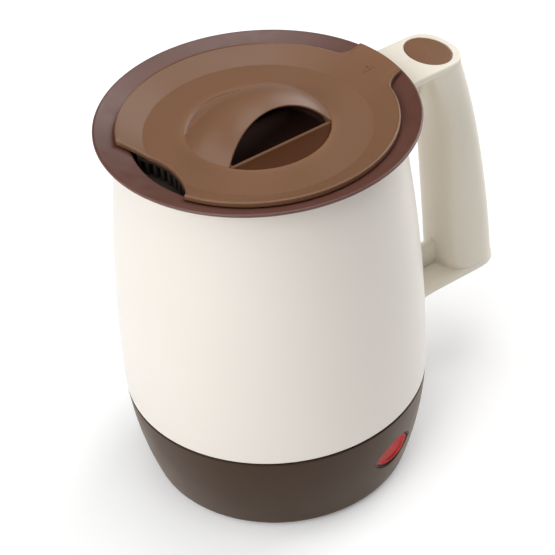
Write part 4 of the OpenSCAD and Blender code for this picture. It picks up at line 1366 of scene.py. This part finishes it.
class JugWorks(bpy.types.Operator):
    """Gives the pieces inside the jug, which keep their CAD shape, their finishes"""

    bl_idname = "jug.works"
    bl_label = "Inner works"

    def execute(self, context):
        wanted = {
            "strainer": ("lid_strainer",),
            "black": ("switch_housing", "connector_socket", "thermostat"),
            "steel": (
                "thermostat_bracket", "thermostat_screws", "fuse_clip",
                "tie_screws", "rocker_pin", "handle_screws",
            ),
            "brass": ("earth_pin", "contact_rings", "switch_terminals"),
            "casting": ("heater_plate",),
            "sheath": ("heating_element",),
            "ceramic": ("thermal_fuse",),
            "lamp": ("neon_lamp",),
            "live": ("live_lead", "switched_lead"),
            "sleeve": ("fuse_lead", "element_lead"),
            "neutral": ("neutral_lead",),
            "earth": ("earth_lead",),
        }
        for finish, nodes in wanted.items():
            for node in nodes:
                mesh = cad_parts[node].data
                mesh.materials.clear()
                mesh.materials.append(FINISHES[finish])
        return {"FINISHED"}


class JugFinishes(bpy.types.Operator):
    """Makes the finishes that the pieces share"""

    bl_idname = "jug.finishes"
    bl_label = "Finishes"

    def execute(self, context):
        FINISHES.update(make_finishes())
        return {"FINISHED"}


# Each lamp's place to the right of, beyond and above the jug as the camera sees it, and its width
LAMPS = {
    "key": ((-0.9, -1.1, 0.95), 1.0),
    "side": ((-1.4, -0.1, 0.9), 1.1),
    "top": ((0.1, 0.35, 2.2), 1.3),
    "front": ((0.1, -0.6, 2.0), 1.3),
    "rear": ((1.3, 1.1, 1.0), 1.6),
}
LAMP_AIM = Vector((0, 0, 0.09))
SENSOR_WIDTH = 36
CLIP_START = 0.05
FLOOR_SIZE = 6
FLOOR_PAINT = (0.9, 0.9, 0.9, 1)
WHITE = (1, 1, 1, 1)


class JugSetStage(bpy.types.Operator):
    """Sets the camera, the pale floor and the soft light"""

    bl_idname = "jug.stage"
    bl_label = "Stage"

    def execute(self, context):
        stage = settings("stage")
        self.camera(stage)
        self.floor(stage)
        self.sky(stage)
        for name in LAMPS:
            self.lamp(name, stage)
        context.scene.view_settings.view_transform = "Standard"
        return {"FINISHED"}

    def camera(self, stage):
        """Camera of the main view."""
        bpy.ops.object.select_all(action="DESELECT")
        bpy.ops.object.camera_add(location=stage.camera_at, rotation=Euler(stage.camera_turn))
        camera = bpy.context.object
        camera.data.lens = stage.lens
        camera.data.sensor_width = SENSOR_WIDTH
        camera.data.clip_start = CLIP_START
        bpy.context.scene.camera = camera

    def floor(self, stage):
        """Pale floor that keeps the shadow and looks white to the camera, and whiter far away."""
        bpy.ops.mesh.primitive_plane_add(size=FLOOR_SIZE, location=(0, 0, 0))
        floor = bpy.context.object
        floor.name = "floor"
        material = bpy.data.materials.new("pale_floor")
        material.use_nodes = True
        t = Tree(material.node_tree)
        t.tree.nodes.clear()
        paint = t.add("ShaderNodeBsdfDiffuse")
        paint.inputs["Color"].default_value = FLOOR_PAINT
        far = t.add("ShaderNodeVectorMath", operation="LENGTH")
        t.link(t.add("ShaderNodeTexCoord").outputs["Object"], far.inputs[0])
        rise = t.remap(far.outputs["Value"], *stage.fade, stage.floor_glow, 1.0)
        path = t.add("ShaderNodeLightPath").outputs
        seen = t.maths("MAXIMUM", path["Is Camera Ray"], path["Is Glossy Ray"])
        glow = t.add("ShaderNodeEmission")
        t.link(t.maths("MULTIPLY", seen, rise), glow.inputs["Strength"])
        both = t.add("ShaderNodeAddShader")
        t.link(paint.outputs["BSDF"], both.inputs[0])
        t.link(glow.outputs["Emission"], both.inputs[1])
        t.link(both.outputs["Shader"], t.add("ShaderNodeOutputMaterial").inputs["Surface"])
        floor.data.materials.append(material)

    def sky(self, stage):
        """Even white light, seen as plain white."""
        world = bpy.context.scene.world or bpy.data.worlds.new("sky")
        bpy.context.scene.world = world
        world.use_nodes = True
        t = Tree(world.node_tree)
        background = t.tree.nodes["Background"]
        background.inputs["Color"].default_value = WHITE
        seen = t.add("ShaderNodeLightPath").outputs["Is Camera Ray"]
        extra = t.maths("MULTIPLY", seen, 1 - stage.sky)
        t.link(t.maths("ADD", extra, stage.sky), background.inputs["Strength"])

    def lamp(self, name, stage):
        """A square soft light that faces the jug."""
        (right, away, up), size = LAMPS[name]
        c, s = cos(stage.view_azimuth), sin(stage.view_azimuth)
        at = Vector((right * c - away * s, right * s + away * c, up))
        turn = (LAMP_AIM - at).to_track_quat("-Z", "Y").to_euler()
        bpy.ops.object.select_all(action="DESELECT")
        bpy.ops.object.light_add(type="AREA", location=at, rotation=turn)
        light = bpy.context.object
        light.name = light.data.name = name + "_light"
        light.data.size = size
        light.data.energy = getattr(stage, name)


# Panel and registration

class JugPanel(bpy.types.Panel):
    """Lists the steps of the jug"""

    bl_idname = "JUG_PT_steps"
    bl_label = "Milk warming jug"
    bl_space_type = "VIEW_3D"
    bl_region_type = "UI"
    bl_category = "Jug"

    def draw(self, context):
        for step in STEPS:
            self.layout.operator(step.bl_idname)


GROUPS = {
    "jug_body": JugBodySizes,
    "jug_lid": JugLidSizes,
    "jug_handle": JugHandleSizes,
    "jug_switch": JugSwitchSizes,
    "jug_colours": JugColours,
    "jug_stage": JugStage,
}
STEPS = (JugFinishes, JugBody, JugBase, JugPot, JugLid, JugHandle, JugSwitch, JugWorks, JugSetStage)


def register():
    """Registers the groups, the steps and the panel."""
    for group in GROUPS.values():
        bpy.utils.register_class(group)
    for name, group in GROUPS.items():
        setattr(bpy.types.Scene, name, PointerProperty(type=group))
    for step in STEPS:
        bpy.utils.register_class(step)
    bpy.utils.register_class(JugPanel)


def unregister():
    """Takes back what register added."""
    bpy.utils.unregister_class(JugPanel)
    for step in reversed(STEPS):
        bpy.utils.unregister_class(step)
    for name in GROUPS:
        delattr(bpy.types.Scene, name)
    for group in reversed(list(GROUPS.values())):
        bpy.utils.unregister_class(group)


def main():
    """Builds the jug and its stage."""
    register()
    bpy.ops.jug.finishes()
    bpy.ops.jug.body()
    bpy.ops.jug.base()
    bpy.ops.jug.pot()
    bpy.ops.jug.lid()
    bpy.ops.jug.handle()
    bpy.ops.jug.switch()
    bpy.ops.jug.works()
    bpy.ops.jug.stage()


if __name__ == "__main__":
    main()
